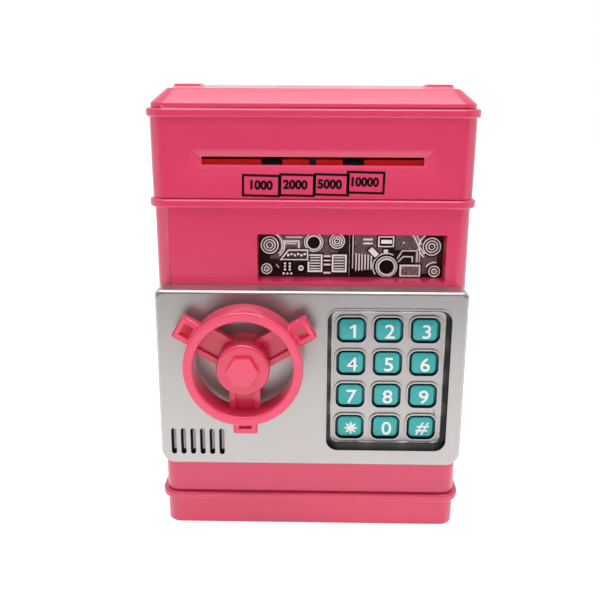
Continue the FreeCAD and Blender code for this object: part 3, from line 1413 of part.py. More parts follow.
def relief_panel():
    """Dark panel behind the window with machinery moulded on it."""
    plate = panel(window_width + 2 * tunnel_wall, window_height + 2 * tunnel_wall, 1.0, 0, 0, panel_front,
                  panel_front + panel_thickness)
    ears = [rod(AXIS_Y, panel_boss_radius, (s * panel_boss_x, panel_front, 0), panel_thickness)
            for s in (-1, 1)]
    holes = [rod(AXIS_Y, small_screw_radius + part_gap, (s * panel_boss_x, panel_front - 1, 0),
                 panel_thickness + 2) for s in (-1, 1)]
    sight = block(span(0, window_width - 2 * part_gap), (panel_front - 3, panel_front + 1),
                  span(0, window_height - 2 * part_gap))
    motifs = [motif.common(sight) for motif in relief_motifs()]
    result = joined(joined([plate] + ears).cut(holes).fuse(motifs).Solids)
    result.translate(Vector(window_x, 0, window_z))
    return result


# ---------------------------------------------------------------- fasteners
def case_screws():
    screws = [case_screw(Vector(x, y, base_screw_seat), AXIS_Z) for x, y in corners(post_x, post_y)]
    screws += [case_screw(Vector(x, y, cover_seat), AXIS_Z) for x, y in corners(post_x, post_y)]
    return Part.makeCompound(screws)


def rear_screws():
    return Part.makeCompound([screw(Vector(x, case_back - flush_head_height, z), AXIS_Y * -1,
                                    door_screw_length, screw_radius, screw_head, flush_head_height)
                              for x, z in rear_screw_points()])


def inner_screws():
    """Small screws of the roof, the relief panel and the feeder."""
    screws = [small_screw(Vector(x, y, roof_top), AXIS_Z * -1) for x, y in corners(roof_boss_x, roof_boss_y)]
    screws += [small_screw(Vector(window_x + s * panel_boss_x, panel_front + panel_thickness, window_z),
                           AXIS_Y * -1) for s in (-1, 1)]
    seat = inner_front + feeder_boss_reach + guide_thickness
    screws += [screw(Vector(s * feeder_boss_x, seat, z), AXIS_Y * -1, small_screw_length - 1,
                     small_screw_radius, small_screw_head, small_screw_head_height)
               for s in (-1, 1) for z in feeder_boss_levels]
    return Part.makeCompound(screws)


# ---------------------------------------------------------------- all parts
def build_parts():
    shaft_end = gear_left + gear_width
    idler_centre = (roller_y, idler_z)
    tyre_seat = drum_radius - tyre_groove
    idler_seat = idler_drum_radius - tyre_groove
    parts = {
        "base_tray": base_tray(),
        "body_shell": body_shell(),
        "top_cover": top_cover(),
        "rear_cover": rear_cover(),
        "battery_cover": battery_cover(),
        "battery_cells": battery_cells(),
        "battery_contacts": battery_contacts(),
        "relief_panel": relief_panel(),
        "vault_roof": vault_roof(),
        "main_board": main_board(),
        "coin_chute": coin_chute(),
        "door_front": door_front_shell(),
        "door_back_cover": door_back_cover(),
        "door_screws": door_screws(),
        "hinge_pins": hinge_pins(),
        "keypad_mat": keypad_mat(),
        "keypad_board": keypad_board(),
        "speaker": speaker(),
        "handwheel": handwheel(),
        "wheel_shaft": wheel_shaft(),
        "lock_disc": lock_disc(),
        "latch_arm": latch_arm(),
        "arm_screw": arm_screw(),
        "solenoid": solenoid(),
        "lock_plunger": lock_plunger(),
        "plunger_spring": plunger_spring(),
        "feeder_frame": feeder_frame(),
        "feed_drum": roller(feed_centre, drum_radius),
        "feed_tyres": tyres(feed_centre, tyre_radius, tyre_seat),
        "feed_shaft": roller_shaft(feed_centre, shaft_end),
        "feed_gear": feed_gear(),
        "idler_drum": roller(idler_centre, idler_drum_radius),
        "idler_tyres": tyres(idler_centre, idler_tyre_radius, idler_seat),
        "idler_shaft": roller_shaft(idler_centre, cheek_out + shaft_stub),
        "transfer_gear": transfer_gear(),
        "reduction_gear": reduction_gear(),
        "gear_axles": gear_axles(),
        "gear_side_plate": gear_side_plate(),
        "motor": motor(),
        "motor_pinion": motor_pinion(),
        "note_lever": note_lever(),
        "note_switch": note_switch(),
        "case_screws": case_screws(),
        "rear_screws": rear_screws(),
        "inner_screws": inner_screws(),
    }
    for name, (x, z) in zip(key_names, key_places()):
        parts["key_" + name] = key(x, z)
    return parts


if __name__ == "__main__":
    os.makedirs("parts", exist_ok=True)
    for name, shape in build_parts().items():
        shape.exportStep("parts/" + name + ".step")
        print(name, len(shape.Solids), shape.isValid(), round(shape.Volume, 1))
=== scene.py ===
# %% [markdown]
# # A toy safe coin bank
# The bank is a moulded plastic case with a hinged front door. The door carries a keypad, a
# speaker behind six slots and a handwheel, and a motor draws banknotes in through a slot near
# the top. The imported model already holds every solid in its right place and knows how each
# one moves. This lesson dresses those solids: it rounds the shading, replaces a few forms by
# finer surfaces, and gives every piece the finish that such a toy has.

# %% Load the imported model
import json

import bmesh
import bpy
import numpy as np
from mathutils import Matrix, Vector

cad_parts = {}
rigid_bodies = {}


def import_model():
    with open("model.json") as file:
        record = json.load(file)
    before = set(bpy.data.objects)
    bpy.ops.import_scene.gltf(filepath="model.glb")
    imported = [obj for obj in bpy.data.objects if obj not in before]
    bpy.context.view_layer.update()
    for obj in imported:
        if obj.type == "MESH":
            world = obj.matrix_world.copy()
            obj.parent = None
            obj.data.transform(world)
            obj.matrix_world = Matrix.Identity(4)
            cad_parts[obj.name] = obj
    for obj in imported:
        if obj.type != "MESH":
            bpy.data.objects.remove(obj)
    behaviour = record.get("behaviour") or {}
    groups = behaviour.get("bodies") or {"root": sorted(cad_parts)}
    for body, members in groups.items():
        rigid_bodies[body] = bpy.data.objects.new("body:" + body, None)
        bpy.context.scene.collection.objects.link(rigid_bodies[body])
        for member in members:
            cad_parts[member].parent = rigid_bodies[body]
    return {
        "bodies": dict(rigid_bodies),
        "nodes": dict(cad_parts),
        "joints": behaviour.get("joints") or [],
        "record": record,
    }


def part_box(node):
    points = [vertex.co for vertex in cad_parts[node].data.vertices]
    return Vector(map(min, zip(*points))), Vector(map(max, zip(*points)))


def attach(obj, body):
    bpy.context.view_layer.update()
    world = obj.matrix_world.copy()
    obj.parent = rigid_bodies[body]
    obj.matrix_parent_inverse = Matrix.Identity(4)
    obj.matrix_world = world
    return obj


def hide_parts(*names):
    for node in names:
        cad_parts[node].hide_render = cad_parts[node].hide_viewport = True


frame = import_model()
nodes = frame["nodes"]
body_of_node = {node: body for body, members in frame["record"]["behaviour"]["bodies"].items()
                for node in members}
slot_of_node = {entry["node"]: entry["material_slot"] for entry in frame["record"]["subparts"]}
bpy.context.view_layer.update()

# %% [markdown]
# ## Units and positions
# Blender counts in metres, and a toy is drawn in millimetres. One factor turns a length into
# metres. Small functions read where a solid lies, and take a mesh's points out and put them back
# as one array, because a change to a whole array needs no loop over its points.

# %% Millimetres, corners and points
MM = 0.001


def corners_of(node):
    """Lowest and highest corner of a solid, as two arrays in millimetres."""
    low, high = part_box(node)
    return np.array(low) / MM, np.array(high) / MM


def mesh_points(mesh):
    """All points of a mesh in metres, as rows of (x, y, z)."""
    flat = np.empty(len(mesh.vertices) * 3)
    mesh.vertices.foreach_get("co", flat)
    return flat.reshape(-1, 3)


def move_points(mesh, points):
    """Puts rows of (x, y, z) in metres back into their mesh."""
    mesh.vertices.foreach_set("co", points.ravel())
    mesh.update()


door_low, door_high = corners_of("door_front")
wheel_low, wheel_high = corners_of("handwheel")
print("door width", round(door_high[0] - door_low[0], 2), "mm")
print("wheel depth", round(wheel_high[1] - wheel_low[1], 2), "mm")

# %% [markdown]
# ## The camera
# A product shot of a small toy is taken from a little above with a normal lens. The camera is
# placed by three unit vectors: forward from its turn and tilt, right from the turn alone, and
# up as their cross product. A small roll mixes right and up. Writing the matrix out like this
# is exact, where Euler angles would need their order to be remembered.

# %% Camera
LENS = 47.16
CAMERA_PLACE = (0.8, -355.8, 191.6)
TILT_TURN_ROLL = (16.05, -1.02, 0.22)
camera_data = bpy.data.cameras.new("camera")
camera_data.sensor_width = 36.0
camera_data.lens = LENS
camera = bpy.data.objects.new("camera", camera_data)
bpy.context.scene.collection.objects.link(camera)
tilt, turn, roll = np.radians(TILT_TURN_ROLL)
forward = np.array([np.sin(turn) * np.cos(tilt), np.cos(turn) * np.cos(tilt), -np.sin(tilt)])
level = np.array([np.cos(turn), -np.sin(turn), 0.0])
upward = np.cross(level, forward)
right = level * np.cos(roll) + upward * np.sin(roll)
above = upward * np.cos(roll) - level * np.sin(roll)
view = np.eye(4)
view[:3, 0], view[:3, 1], view[:3, 2] = right, above, -forward
view[:3, 3] = np.array(CAMERA_PLACE) * MM
camera.matrix_world = Matrix(view.tolist())
bpy.context.scene.camera = camera
print("camera tilt", round(float(np.degrees(tilt)), 2), "degrees")

# %% [markdown]
# ## Surfaces from arrays
# Every new form here is a grid of points: rows along one parameter, columns along the other.
# Quads join neighbours, and either direction may close on itself. The faces come from index
# arithmetic on whole arrays, which is quick and hard to get wrong.

# %% Grid faces and mesh objects
SAME_POINT = 1e-7


def grid_faces(rows, columns, close_columns=False, close_rows=False):
    """Quads of a grid, counted row by row: each joins (i, j), (i, j+1), (i+1, j+1), (i+1, j)."""
    i = np.arange(rows if close_rows else rows - 1)[:, None]
    j = np.arange(columns if close_columns else columns - 1)[None, :]
    next_i, next_j = (i + 1) % rows, (j + 1) % columns
    quads = np.stack([i * columns + j, i * columns + next_j, next_i * columns + next_j,
                      next_i * columns + j], axis=-1)
    return quads.reshape(-1, 4)


def mesh_object(name, points, faces, smooth_angle=35.0):
    """Mesh object from points in millimetres, with smooth shading below an angle."""
    mesh = bpy.data.meshes.new(name)
    mesh.from_pydata((np.asarray(points) * MM).tolist(), [], [list(map(int, f)) for f in faces])
    mesh.validate()
    return linked_piece(name, mesh, smooth_angle)


def linked_piece(name, mesh, smooth_angle):
    """Object for a mesh, shaded smooth except at edges sharper than an angle."""
    mesh.shade_smooth()
    mesh.set_sharp_from_angle(angle=np.radians(smooth_angle))
    piece = bpy.data.objects.new(name, mesh)
    bpy.context.scene.collection.objects.link(piece)
    return piece


def turn_faces_out(piece):
    """Merges doubled points and recalculates the normals of a closed form."""
    work = bmesh.new()
    work.from_mesh(piece.data)
    bmesh.ops.remove_doubles(work, verts=work.verts, dist=SAME_POINT)
    bmesh.ops.recalc_face_normals(work, faces=work.faces)
    work.to_mesh(piece.data)
    work.free()
    return piece


print("a 3 by 4 grid has", len(grid_faces(3, 4)), "quads")

# %% [markdown]
# ## Shared effects for the finishes
# Moulded plastic is never one flat colour. Two effects appear on most pieces: a faint drift of
# tone, from how the melt flowed, and a fine orange-peel or sand texture, from the mould's own
# surface. Each is a node group that is built once, with inputs for its size and strength, and
# placed in every material that needs it with its own values.

# %% Group, math and noise nodes
NOISE_ROUGHNESS = 0.55


def new_group(name, inputs, outputs):
    """Shader node group with its sockets; returns the group with its input and output nodes."""
    group = bpy.data.node_groups.new(name, "ShaderNodeTree")
    for label, kind, value in inputs:
        socket = group.interface.new_socket(name=label, in_out="INPUT", socket_type=kind)
        socket.default_value = value
    for label, kind in outputs:
        group.interface.new_socket(name=label, in_out="OUTPUT", socket_type=kind)
    return group, group.nodes.new("NodeGroupInput"), group.nodes.new("NodeGroupOutput")


def math_node(tree, operation, first, second=None, third=None):
    """Math node whose inputs are sockets or numbers; returns its output."""
    node = tree.nodes.new("ShaderNodeMath")
    node.operation = operation
    for socket, value in zip(node.inputs, (first, second, third)):
        if value is None:
            continue
        if isinstance(value, (int, float)):
            socket.default_value = value
        else:
            tree.links.new(value, socket)
    return node.outputs[0]


def noise_node(tree, vector, scale, detail):
    """Noise about one half, on the given coordinates; its scale is a socket or a number."""
    node = tree.nodes.new("ShaderNodeTexNoise")
    node.inputs["Detail"].default_value = detail
    node.inputs["Roughness"].default_value = NOISE_ROUGHNESS
    if isinstance(scale, (int, float)):
        node.inputs["Scale"].default_value = scale
    else:
        tree.links.new(scale, node.inputs["Scale"])
    tree.links.new(vector, node.inputs["Vector"])
    return node.outputs[0]


print("noise roughness:", NOISE_ROUGHNESS)

# %% Coordinates and colours
def own_place(tree):
    """The piece's own coordinates, which stay with it when it moves."""
    return tree.nodes.new("ShaderNodeTexCoord").outputs["Object"]


def own_axes(tree):
    """The same coordinates as three sockets: X, Y and Z."""
    axes = tree.nodes.new("ShaderNodeSeparateXYZ")
    tree.links.new(own_place(tree), axes.inputs[0])
    return axes.outputs


def mixed_color(tree, share, first, second_color):
    """Mixes a colour socket with a fixed colour by a share from 0 to 1."""
    blend = tree.nodes.new("ShaderNodeMix")
    blend.data_type = "RGBA"
    blend.inputs["B"].default_value = (*second_color, 1.0)
    tree.links.new(share, blend.inputs["Factor"])
    tree.links.new(first, blend.inputs["A"])
    return blend.outputs["Result"]


def ramp_color(tree, value, stops, interpolation="LINEAR"):
    """Colour for a value, by a ramp with the given (position, colour) stops.

    A new ramp already has two stops, at 0 and 1, so the first two in the list are for those.
    """
    ramp = tree.nodes.new("ShaderNodeValToRGB")
    ramp.color_ramp.interpolation = interpolation
    elements = ramp.color_ramp.elements
    for index, (position, color) in enumerate(stops):
        element = elements[index] if index < 2 else elements.new(position)
        element.position = position
        element.color = (*color, 1.0)
    tree.links.new(value, ramp.inputs["Fac"])
    return ramp.outputs["Color"]


def set_base_color(tree, color):
    """Leads a colour socket into the material's shader."""
    tree.links.new(color, tree.nodes["Principled BSDF"].inputs["Base Color"])


print("node groups so far:", len(bpy.data.node_groups))

# %% Tone drift group
drift_group, drift_in, drift_out = new_group(
    "tone_drift",
    [("Color", "NodeSocketColor", (0.5, 0.5, 0.5, 1.0)), ("Size", "NodeSocketFloat", 30.0),
     ("Amount", "NodeSocketFloat", 0.06)],
    [("Color", "NodeSocketColor"), ("Mask", "NodeSocketFloat")])
drift_noise = noise_node(drift_group, own_place(drift_group), drift_in.outputs["Size"], 4.0)
centred = math_node(drift_group, "SUBTRACT", drift_noise, 0.5)
gain = math_node(drift_group, "MULTIPLY_ADD", centred, drift_in.outputs["Amount"], 1.0)
scaled = drift_group.nodes.new("ShaderNodeVectorMath")
scaled.operation = "SCALE"
drift_group.links.new(drift_in.outputs["Color"], scaled.inputs[0])
drift_group.links.new(gain, scaled.inputs["Scale"])
drift_group.links.new(scaled.outputs[0], drift_out.inputs["Color"])
drift_group.links.new(drift_noise, drift_out.inputs["Mask"])
print("group:", drift_group.name)

# %% Mould texture group
grain_group, grain_in, grain_out = new_group(
    "mould_grain",
    [("Size", "NodeSocketFloat", 900.0), ("Roughness", "NodeSocketFloat", 0.35),
     ("Spread", "NodeSocketFloat", 0.08)],
    [("Height", "NodeSocketFloat"), ("Roughness", "NodeSocketFloat")])
SMUDGE_SCALE = 55.0
fine = noise_node(grain_group, own_place(grain_group), grain_in.outputs["Size"], 2.0)
broad = noise_node(grain_group, own_place(grain_group), SMUDGE_SCALE, 3.0)
grain_group.links.new(fine, grain_out.inputs["Height"])
smudge = math_node(grain_group, "SUBTRACT", broad, 0.5)
grain_rough = math_node(grain_group, "MULTIPLY_ADD", smudge, grain_in.outputs["Spread"],
                        grain_in.outputs["Roughness"])
grain_group.links.new(grain_rough, grain_out.inputs["Roughness"])
print("group:", grain_group.name)

# %% A finish with both effects
BUMP_STRENGTH = 0.35
SOAK_RADIUS, SOAK_DEPTH = (1.0, 0.4, 0.4), 1.2


def moulded(name, color, roughness, spread=0.08, drift=0.06, drift_size=28.0, grain_size=1200.0,
            bump=0.02, metallic=0.0, coat=0.0, coat_roughness=0.1, specular=0.5, subsurface=0.0,
            shade=None):
    """Principled material: drifting tone, uneven gloss and a fine mould texture as a bump.

    With a shade colour, the piece's own "shade" attribute mixes it in as painted shade, 0 to 1.
    """
    material = bpy.data.materials.new(name)
    material.use_nodes = True
    tree = material.node_tree
    shader = tree.nodes["Principled BSDF"]
    tone = tree.nodes.new("ShaderNodeGroup")
    tone.node_tree = drift_group
    tone.inputs["Color"].default_value = (*color, 1.0)
    tone.inputs["Size"].default_value = drift_size
    tone.inputs["Amount"].default_value = drift
    grain = tree.nodes.new("ShaderNodeGroup")
    grain.node_tree = grain_group
    grain.inputs["Size"].default_value = grain_size
    grain.inputs["Roughness"].default_value = roughness
    grain.inputs["Spread"].default_value = spread
    relief = tree.nodes.new("ShaderNodeBump")
    relief.inputs["Strength"].default_value = BUMP_STRENGTH
    relief.inputs["Distance"].default_value = bump * MM
    surface_color = tone.outputs["Color"]
    if shade:
        held = tree.nodes.new("ShaderNodeAttribute")
        held.attribute_name = "shade"
        surface_color = mixed_color(tree, held.outputs["Fac"], surface_color, shade)
    set_base_color(tree, surface_color)
    tree.links.new(grain.outputs["Roughness"], shader.inputs["Roughness"])
    tree.links.new(grain.outputs["Height"], relief.inputs["Height"])
    tree.links.new(relief.outputs["Normal"], shader.inputs["Normal"])
    shader.inputs["Metallic"].default_value = metallic
    shader.inputs["Coat Weight"].default_value = coat
    shader.inputs["Coat Roughness"].default_value = coat_roughness
    shader.inputs["Specular IOR Level"].default_value = specular
    shader.inputs["Subsurface Weight"].default_value = subsurface
    shader.inputs["Subsurface Radius"].default_value = SOAK_RADIUS
    shader.inputs["Subsurface Scale"].default_value = SOAK_DEPTH * MM
    return material


print("bump strength:", BUMP_STRENGTH)

# %% [markdown]
# ## The finishes of the bank
# The case is glossy pink polystyrene, coloured in the melt, so that a little light soaks in.
# The wheel is the same plastic in a stronger pink. The door is moulded in grey and sprayed
# silver: real metal flakes under a thin clear layer, so it is part metallic and fairly rough.
# The keys are teal with white raised characters, and the works inside are plain nylon, rubber,
# brass and zinc-plated steel, which is bright with a broad mottle.

# %% Finishes
# The shade colours of the wheel, door and keys are painted shade, mixed in by each piece's shade
# attribute.
finish = {
    "pink_plastic": moulded("case_pink", (0.690, 0.036, 0.115), 0.32, coat=0.4,
                            coat_roughness=0.20, bump=0.006, specular=0.6, subsurface=0.05),
    "red_plastic": moulded("wheel_pink", (0.800, 0.050, 0.130), 0.30, coat=0.4, bump=0.006,
                           specular=0.6, subsurface=0.05, shade=(0.560, 0.006, 0.050)),
    "silver_plastic": moulded("door_silver", (0.440, 0.422, 0.415), 0.38, spread=0.10, drift=0.10,
                              grain_size=2600.0, bump=0.03, metallic=0.88,
                              shade=(0.012, 0.011, 0.012)),
    "teal_plastic": moulded("key_teal", (0.024, 0.385, 0.380), 0.34, drift=0.10, drift_size=90.0,
                            coat=0.2, shade=(0.002, 0.012, 0.012)),
    "grey_plastic": moulded("inner_grey", (0.300, 0.300, 0.310), 0.50, bump=0.05),
    "white_plastic": moulded("nylon_white", (0.760, 0.755, 0.720), 0.42, subsurface=0.15),
    "black_plastic": moulded("phenolic_black", (0.012, 0.012, 0.013), 0.60, bump=0.05,
                             specular=0.2),
    # The feed drum's red is raised close to full as painted light, so that it stays bright in the
    # shade inside the slot.
    "dark_red_plastic": moulded("feeder_red_painted_light", (0.930, 0.020, 0.015), 0.42),
    "black_rubber": moulded("tyre_rubber", (0.018, 0.018, 0.019), 0.78, drift=0.3, bump=0.10),
    "grey_rubber": moulded("mat_rubber", (0.045, 0.047, 0.050), 0.80, bump=0.06),
    "brass": moulded("pinion_brass", (0.720, 0.480, 0.170), 0.28, metallic=1.0, bump=0.01),
    "motor_can": moulded("motor_steel", (0.560, 0.565, 0.580), 0.30, metallic=1.0, bump=0.02),
    "cell_case": moulded("cell_wrap", (0.055, 0.058, 0.065), 0.28, coat=0.5),
    "steel": moulded("zinc_plate", (0.60, 0.60, 0.61), 0.27, spread=0.22, drift=0.18,
                     drift_size=140.0, bump=0.02, metallic=1.0),
}
print("finishes:", len(finish))

# %% [markdown]
# ## Painted shade lines above the ledges
# Where a wall stands on a ledge, little light gets into the corner, so a thin dark line of painted
# shade is laid on the wall just above each ledge. A small group turns height into a mask for one
# such line.

# %% Painted shade lines on the case
LEDGE_TOPS = (15.7, 144.1, 178.9)
SHADE_LINE_HEIGHT, SHADE_LINE_STRENGTH = 0.5, 0.75
# Colour of the painted shade lines.
SHADE_LINE_COLOR = (0.10, 0.002, 0.008)
shade_line_group, shade_line_in, shade_line_out = new_group(
    "painted_shade_line", [("Z", "NodeSocketFloat", 0.0), ("Level", "NodeSocketFloat", 0.0),
                     ("Height", "NodeSocketFloat", 0.0)], [("Mask", "NodeSocketFloat")])
rise = math_node(shade_line_group, "SUBTRACT", shade_line_in.outputs["Z"], shade_line_in.outputs["Level"])
shade_line_group.links.new(
    math_node(shade_line_group, "MULTIPLY", math_node(shade_line_group, "GREATER_THAN", rise, 0.0),
              math_node(shade_line_group, "LESS_THAN", rise, shade_line_in.outputs["Height"])),
    shade_line_out.inputs["Mask"])
case_tree = finish["pink_plastic"].node_tree
case_axes = own_axes(case_tree)
shade_lines_mask = 0.0
for level in LEDGE_TOPS:
    line = case_tree.nodes.new("ShaderNodeGroup")
    line.node_tree = shade_line_group
    line.inputs["Level"].default_value = level * MM
    line.inputs["Height"].default_value = SHADE_LINE_HEIGHT * MM
    case_tree.links.new(case_axes["Z"], line.inputs["Z"])
    shade_lines_mask = math_node(case_tree, "ADD", line.outputs["Mask"], shade_lines_mask)
# The masks' share mixes the painted shade colour into the case's own colour.
shade_lines_share = math_node(case_tree, "MULTIPLY", shade_lines_mask, SHADE_LINE_STRENGTH)
case_color = case_tree.nodes["Principled BSDF"].inputs["Base Color"].links[0].from_socket
set_base_color(case_tree, mixed_color(case_tree, shade_lines_share, case_color, SHADE_LINE_COLOR))
print("crevice lines:", len(LEDGE_TOPS))

# %% [markdown]
# ## Smooth skins over the solids
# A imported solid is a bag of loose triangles, so each facet would shade flat. A copy of the mesh
# is merged at its doubled points, shaded smooth and split again where two faces meet at a real
# edge. Triangles that lie in one plane are joined first, so that weighted normals see each flat
# face as one large face and let it keep its shade up to the rounded edge.

# %% Skins
SOLID_SAME_POINT = 1e-6
ONE_PLANE = 0.4


def placed(piece, body, material):
    """Gives a new piece its finish and the body it rides on."""
    piece.data.materials.clear()
    piece.data.materials.append(material)
    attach(piece, body)
    return piece


def dressed(node, smooth_angle=32.0):
    """Merged and smooth-shaded copy that stands for a solid and wears its finish."""
    mesh = nodes[node].data.copy()
    work = bmesh.new()
    work.from_mesh(mesh)
    bmesh.ops.remove_doubles(work, verts=work.verts, dist=SOLID_SAME_POINT)
    bmesh.ops.dissolve_limit(work, angle_limit=np.radians(ONE_PLANE), verts=work.verts,
                             edges=work.edges)
    work.to_mesh(mesh)
    work.free()
    piece = linked_piece(node + "_skin", mesh, smooth_angle)
    weighted = piece.modifiers.new("weighted", "WEIGHTED_NORMAL")
    weighted.keep_sharp = True
    slot_name = slot_of_node[node]
    placed(piece, body_of_node[node], finish[slot_name])
    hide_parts(node)
    return piece


print("faces join below", ONE_PLANE, "degrees")

# %% [markdown]
# ## Lofts
# Many moulded forms are an outline that is carried along a depth while it shrinks or grows: a
# key cap, a printed frame, a screw. A loft takes the outlines as rows of points, joins each row
# to the next and closes both ends with one face.

# %% Outlines and lofts
def rounded_outline(half_width, half_height, corner, steps=7):
    """Rounded rectangle: four quarter circles about centres that lie a corner inside the sides."""
    angle = np.linspace(0, np.pi / 2, steps)
    quarter = np.stack([np.cos(angle), np.sin(angle)], axis=-1) * corner
    turned = [quarter, quarter[:, ::-1] * [-1, 1], quarter * -1, quarter[:, ::-1] * [1, -1]]
    centre = np.array([half_width - corner, half_height - corner])
    signs = np.array([[1, 1], [-1, 1], [-1, -1], [1, -1]])
    return np.concatenate([part + centre * sign for part, sign in zip(turned, signs)])


def lofted(name, outlines, depths, smooth_angle=35.0):
    """Rows of (x, z) outlines at depths along Y, joined in a skin; the ends are flat faces."""
    rows, columns = len(outlines), len(outlines[0])
    flat = np.asarray(outlines).reshape(-1, 2)
    deep = np.repeat(np.asarray(depths, dtype=float), columns)
    points = np.stack([flat[:, 0], deep, flat[:, 1]], axis=-1)
    faces = grid_faces(rows, columns, close_columns=True).tolist()
    faces += [list(range(columns))[::-1], list(range((rows - 1) * columns, rows * columns))]
    return turn_faces_out(mesh_object(name, points, faces, smooth_angle))


def place_at(piece, shift):
    """Moves a mesh's own points, in millimetres, so that its object stays at the origin."""
    piece.data.transform(Matrix.Translation([value * MM for value in shift]))
    return piece


print("outline points:", len(rounded_outline(5, 4, 2)))

# %% [markdown]
# ## The outer case
# Base, body, cap and the two covers at the back are single mouldings whose shape is already
# right in the solids. They only need smooth skins in glossy pink. The two pads on the lid are a
# little too high in the solids, so every point near the lid's top comes down by one small trim.

# %% Case skins
case_nodes = ["base_tray", "body_shell", "top_cover", "rear_cover", "battery_cover"]
case_skins = [dressed(node) for node in case_nodes]
print("case skins:", len(case_skins))

# %% Lower lid pads
PAD_TRIM, PAD_REACH = 0.6, 1.5
lid = case_skins[case_nodes.index("top_cover")].data
lid_points = mesh_points(lid)
pad_points = lid_points[:, 2] > lid_points[:, 2].max() - PAD_REACH * MM
lid_points[:, 2] -= np.where(pad_points, PAD_TRIM * MM, 0.0)
move_points(lid, lid_points)
print("pad points lowered:", int(pad_points.sum()))

# %% [markdown]
# ## The door and the wheel
# The door's front is a shallow tray with draft and rounded edges. The handwheel is one moulding
# in a stronger pink. Both take skins; the wheel's ring needs a larger smoothing angle, because
# its facets turn quickly round the bead. The door's two upper corners are drawn out to a tighter
# round: a point between the old arc's middle and its edge slides outwards along its own ray.

# %% Door and wheel skins
door_skins = [dressed(node) for node in ("door_front", "door_back_cover")]
wheel_skin = dressed("handwheel", smooth_angle=38.0)
print("door and wheel:", [skin.name for skin in door_skins + [wheel_skin]])

# %% Crisper top corners of the door
CORNER_ROUND, CORNER_CRISP, CORNER_KEPT = 6.0, 2.4, 4.2
TINY = 1e-9


def crisp_corners(piece, low, high):
    """Pushes a round corner out to a tighter one: each point moves along its own ray.

    A ray meets either the straight side, or the tighter arc by the quadratic formula.
    """
    places = mesh_points(piece.data) / MM
    middle, half = (low[0] + high[0]) / 2, (high[0] - low[0]) / 2 - CORNER_ROUND
    aside = np.abs(places[:, 0] - middle) - half
    above = places[:, 2] - (high[2] - CORNER_ROUND)
    radius = np.hypot(aside, above)
    inside = (aside > 0) & (above > 0) & (radius > CORNER_KEPT)
    along, up = aside / np.maximum(radius, TINY), above / np.maximum(radius, TINY)
    flat = CORNER_ROUND - CORNER_CRISP
    toward = flat * (along + up)
    bend = toward + np.sqrt(np.maximum(toward ** 2 - 2 * flat ** 2 + CORNER_CRISP ** 2, 0))
    side = CORNER_ROUND / np.maximum(np.maximum(along, up), TINY)
    on_side = side * np.minimum(along, up) < flat
    target = np.where(on_side, side, bend) / CORNER_ROUND
    moved = np.where(inside, radius * target, radius)
    sign = np.sign(places[:, 0] - middle)
    places[:, 0] = np.where(inside, middle + sign * (half + moved * along), places[:, 0])
    places[:, 2] = np.where(inside, high[2] - CORNER_ROUND + moved * up, places[:, 2])
    move_points(piece.data, places * MM)
    return int(inside.sum())


print("corner points moved:", crisp_corners(door_skins[0], door_low, door_high))

# %% [markdown]
# ## Painted shade in recesses
# Little light reaches deep inside a moulded recess, so shade is painted there. Each face corner of
# the door and the wheel stores how deep it lies, and the colour is painted darker with that
# number.
# On the door it is the keypad's wall, the wells round the keys and the slots in front of the
# speaker. A rule gets each face corner's place, its face's middle and its face's normal, and picks
# faces by them.

# %% Painted shade at face corners
def shaded(piece, rule):
    """Stores painted shade at each face corner, 0 to 1: how deep in a recess the rule says it
    lies.
    """
    mesh = piece.data
    point_of = np.empty(len(mesh.loops), dtype=int)
    mesh.loops.foreach_get("vertex_index", point_of)
    totals = np.empty(len(mesh.polygons), dtype=int)
    mesh.polygons.foreach_get("loop_total", totals)
    middles, normals = np.empty(len(totals) * 3), np.empty(len(totals) * 3)
    mesh.polygons.foreach_get("center", middles)
    mesh.polygons.foreach_get("normal", normals)
    face_of = np.repeat(np.arange(len(totals)), totals)
    corner = mesh_points(mesh)[point_of] / MM
    value = rule(corner, middles.reshape(-1, 3)[face_of] / MM, normals.reshape(-1, 3)[face_of])
    held = mesh.attributes.new("shade", "FLOAT", "CORNER")
    held.data.foreach_set("value", np.clip(value, 0, 1).astype(np.float32))
    return piece


print("shade is stored from 0 to 1")

# %% Where the keypad and the speaker's slots are
corner_keys = [corners_of("key_" + name) for name in ("1", "3", "star", "hash")]
keys_low = np.min([low for low, high in corner_keys], axis=0)
keys_high = np.max([high for low, high in corner_keys], axis=0)
keypad_x, keypad_z = (keys_low[0] + keys_high[0]) / 2, (keys_low[2] + keys_high[2]) / 2
KEYPAD_HALF, KEYPAD_RECESS = (26.5, 33.5), 5.0
FLOOR_SIDE, FLOOR_TOP, FLOOR_FOOT = 22.4, 28.6, -27.8
KEY_ACROSS, KEY_UP = 14.9, 14.2
WELL_HALF, WELL_ROUND, WELL_EDGE = (6.0, 5.4), 3.0, 0.15
speaker_low, speaker_high = corners_of("speaker")
slots_x, slots_z = (speaker_low[0] + speaker_high[0]) / 2, keys_low[2] + 0.6
SLOTS_HALF, SLOTS_DEPTH = (12.0, 6.5), (0.1, 2.3)
FACES_FRONT, FACES_INTO_WELL = -0.75, -0.6
print("keypad middle:", round(keypad_x, 2), round(keypad_z, 2))

# %% Where the door has painted shade
MOUTH_SHADE, SHADE_LOSS = 1.1, 0.08


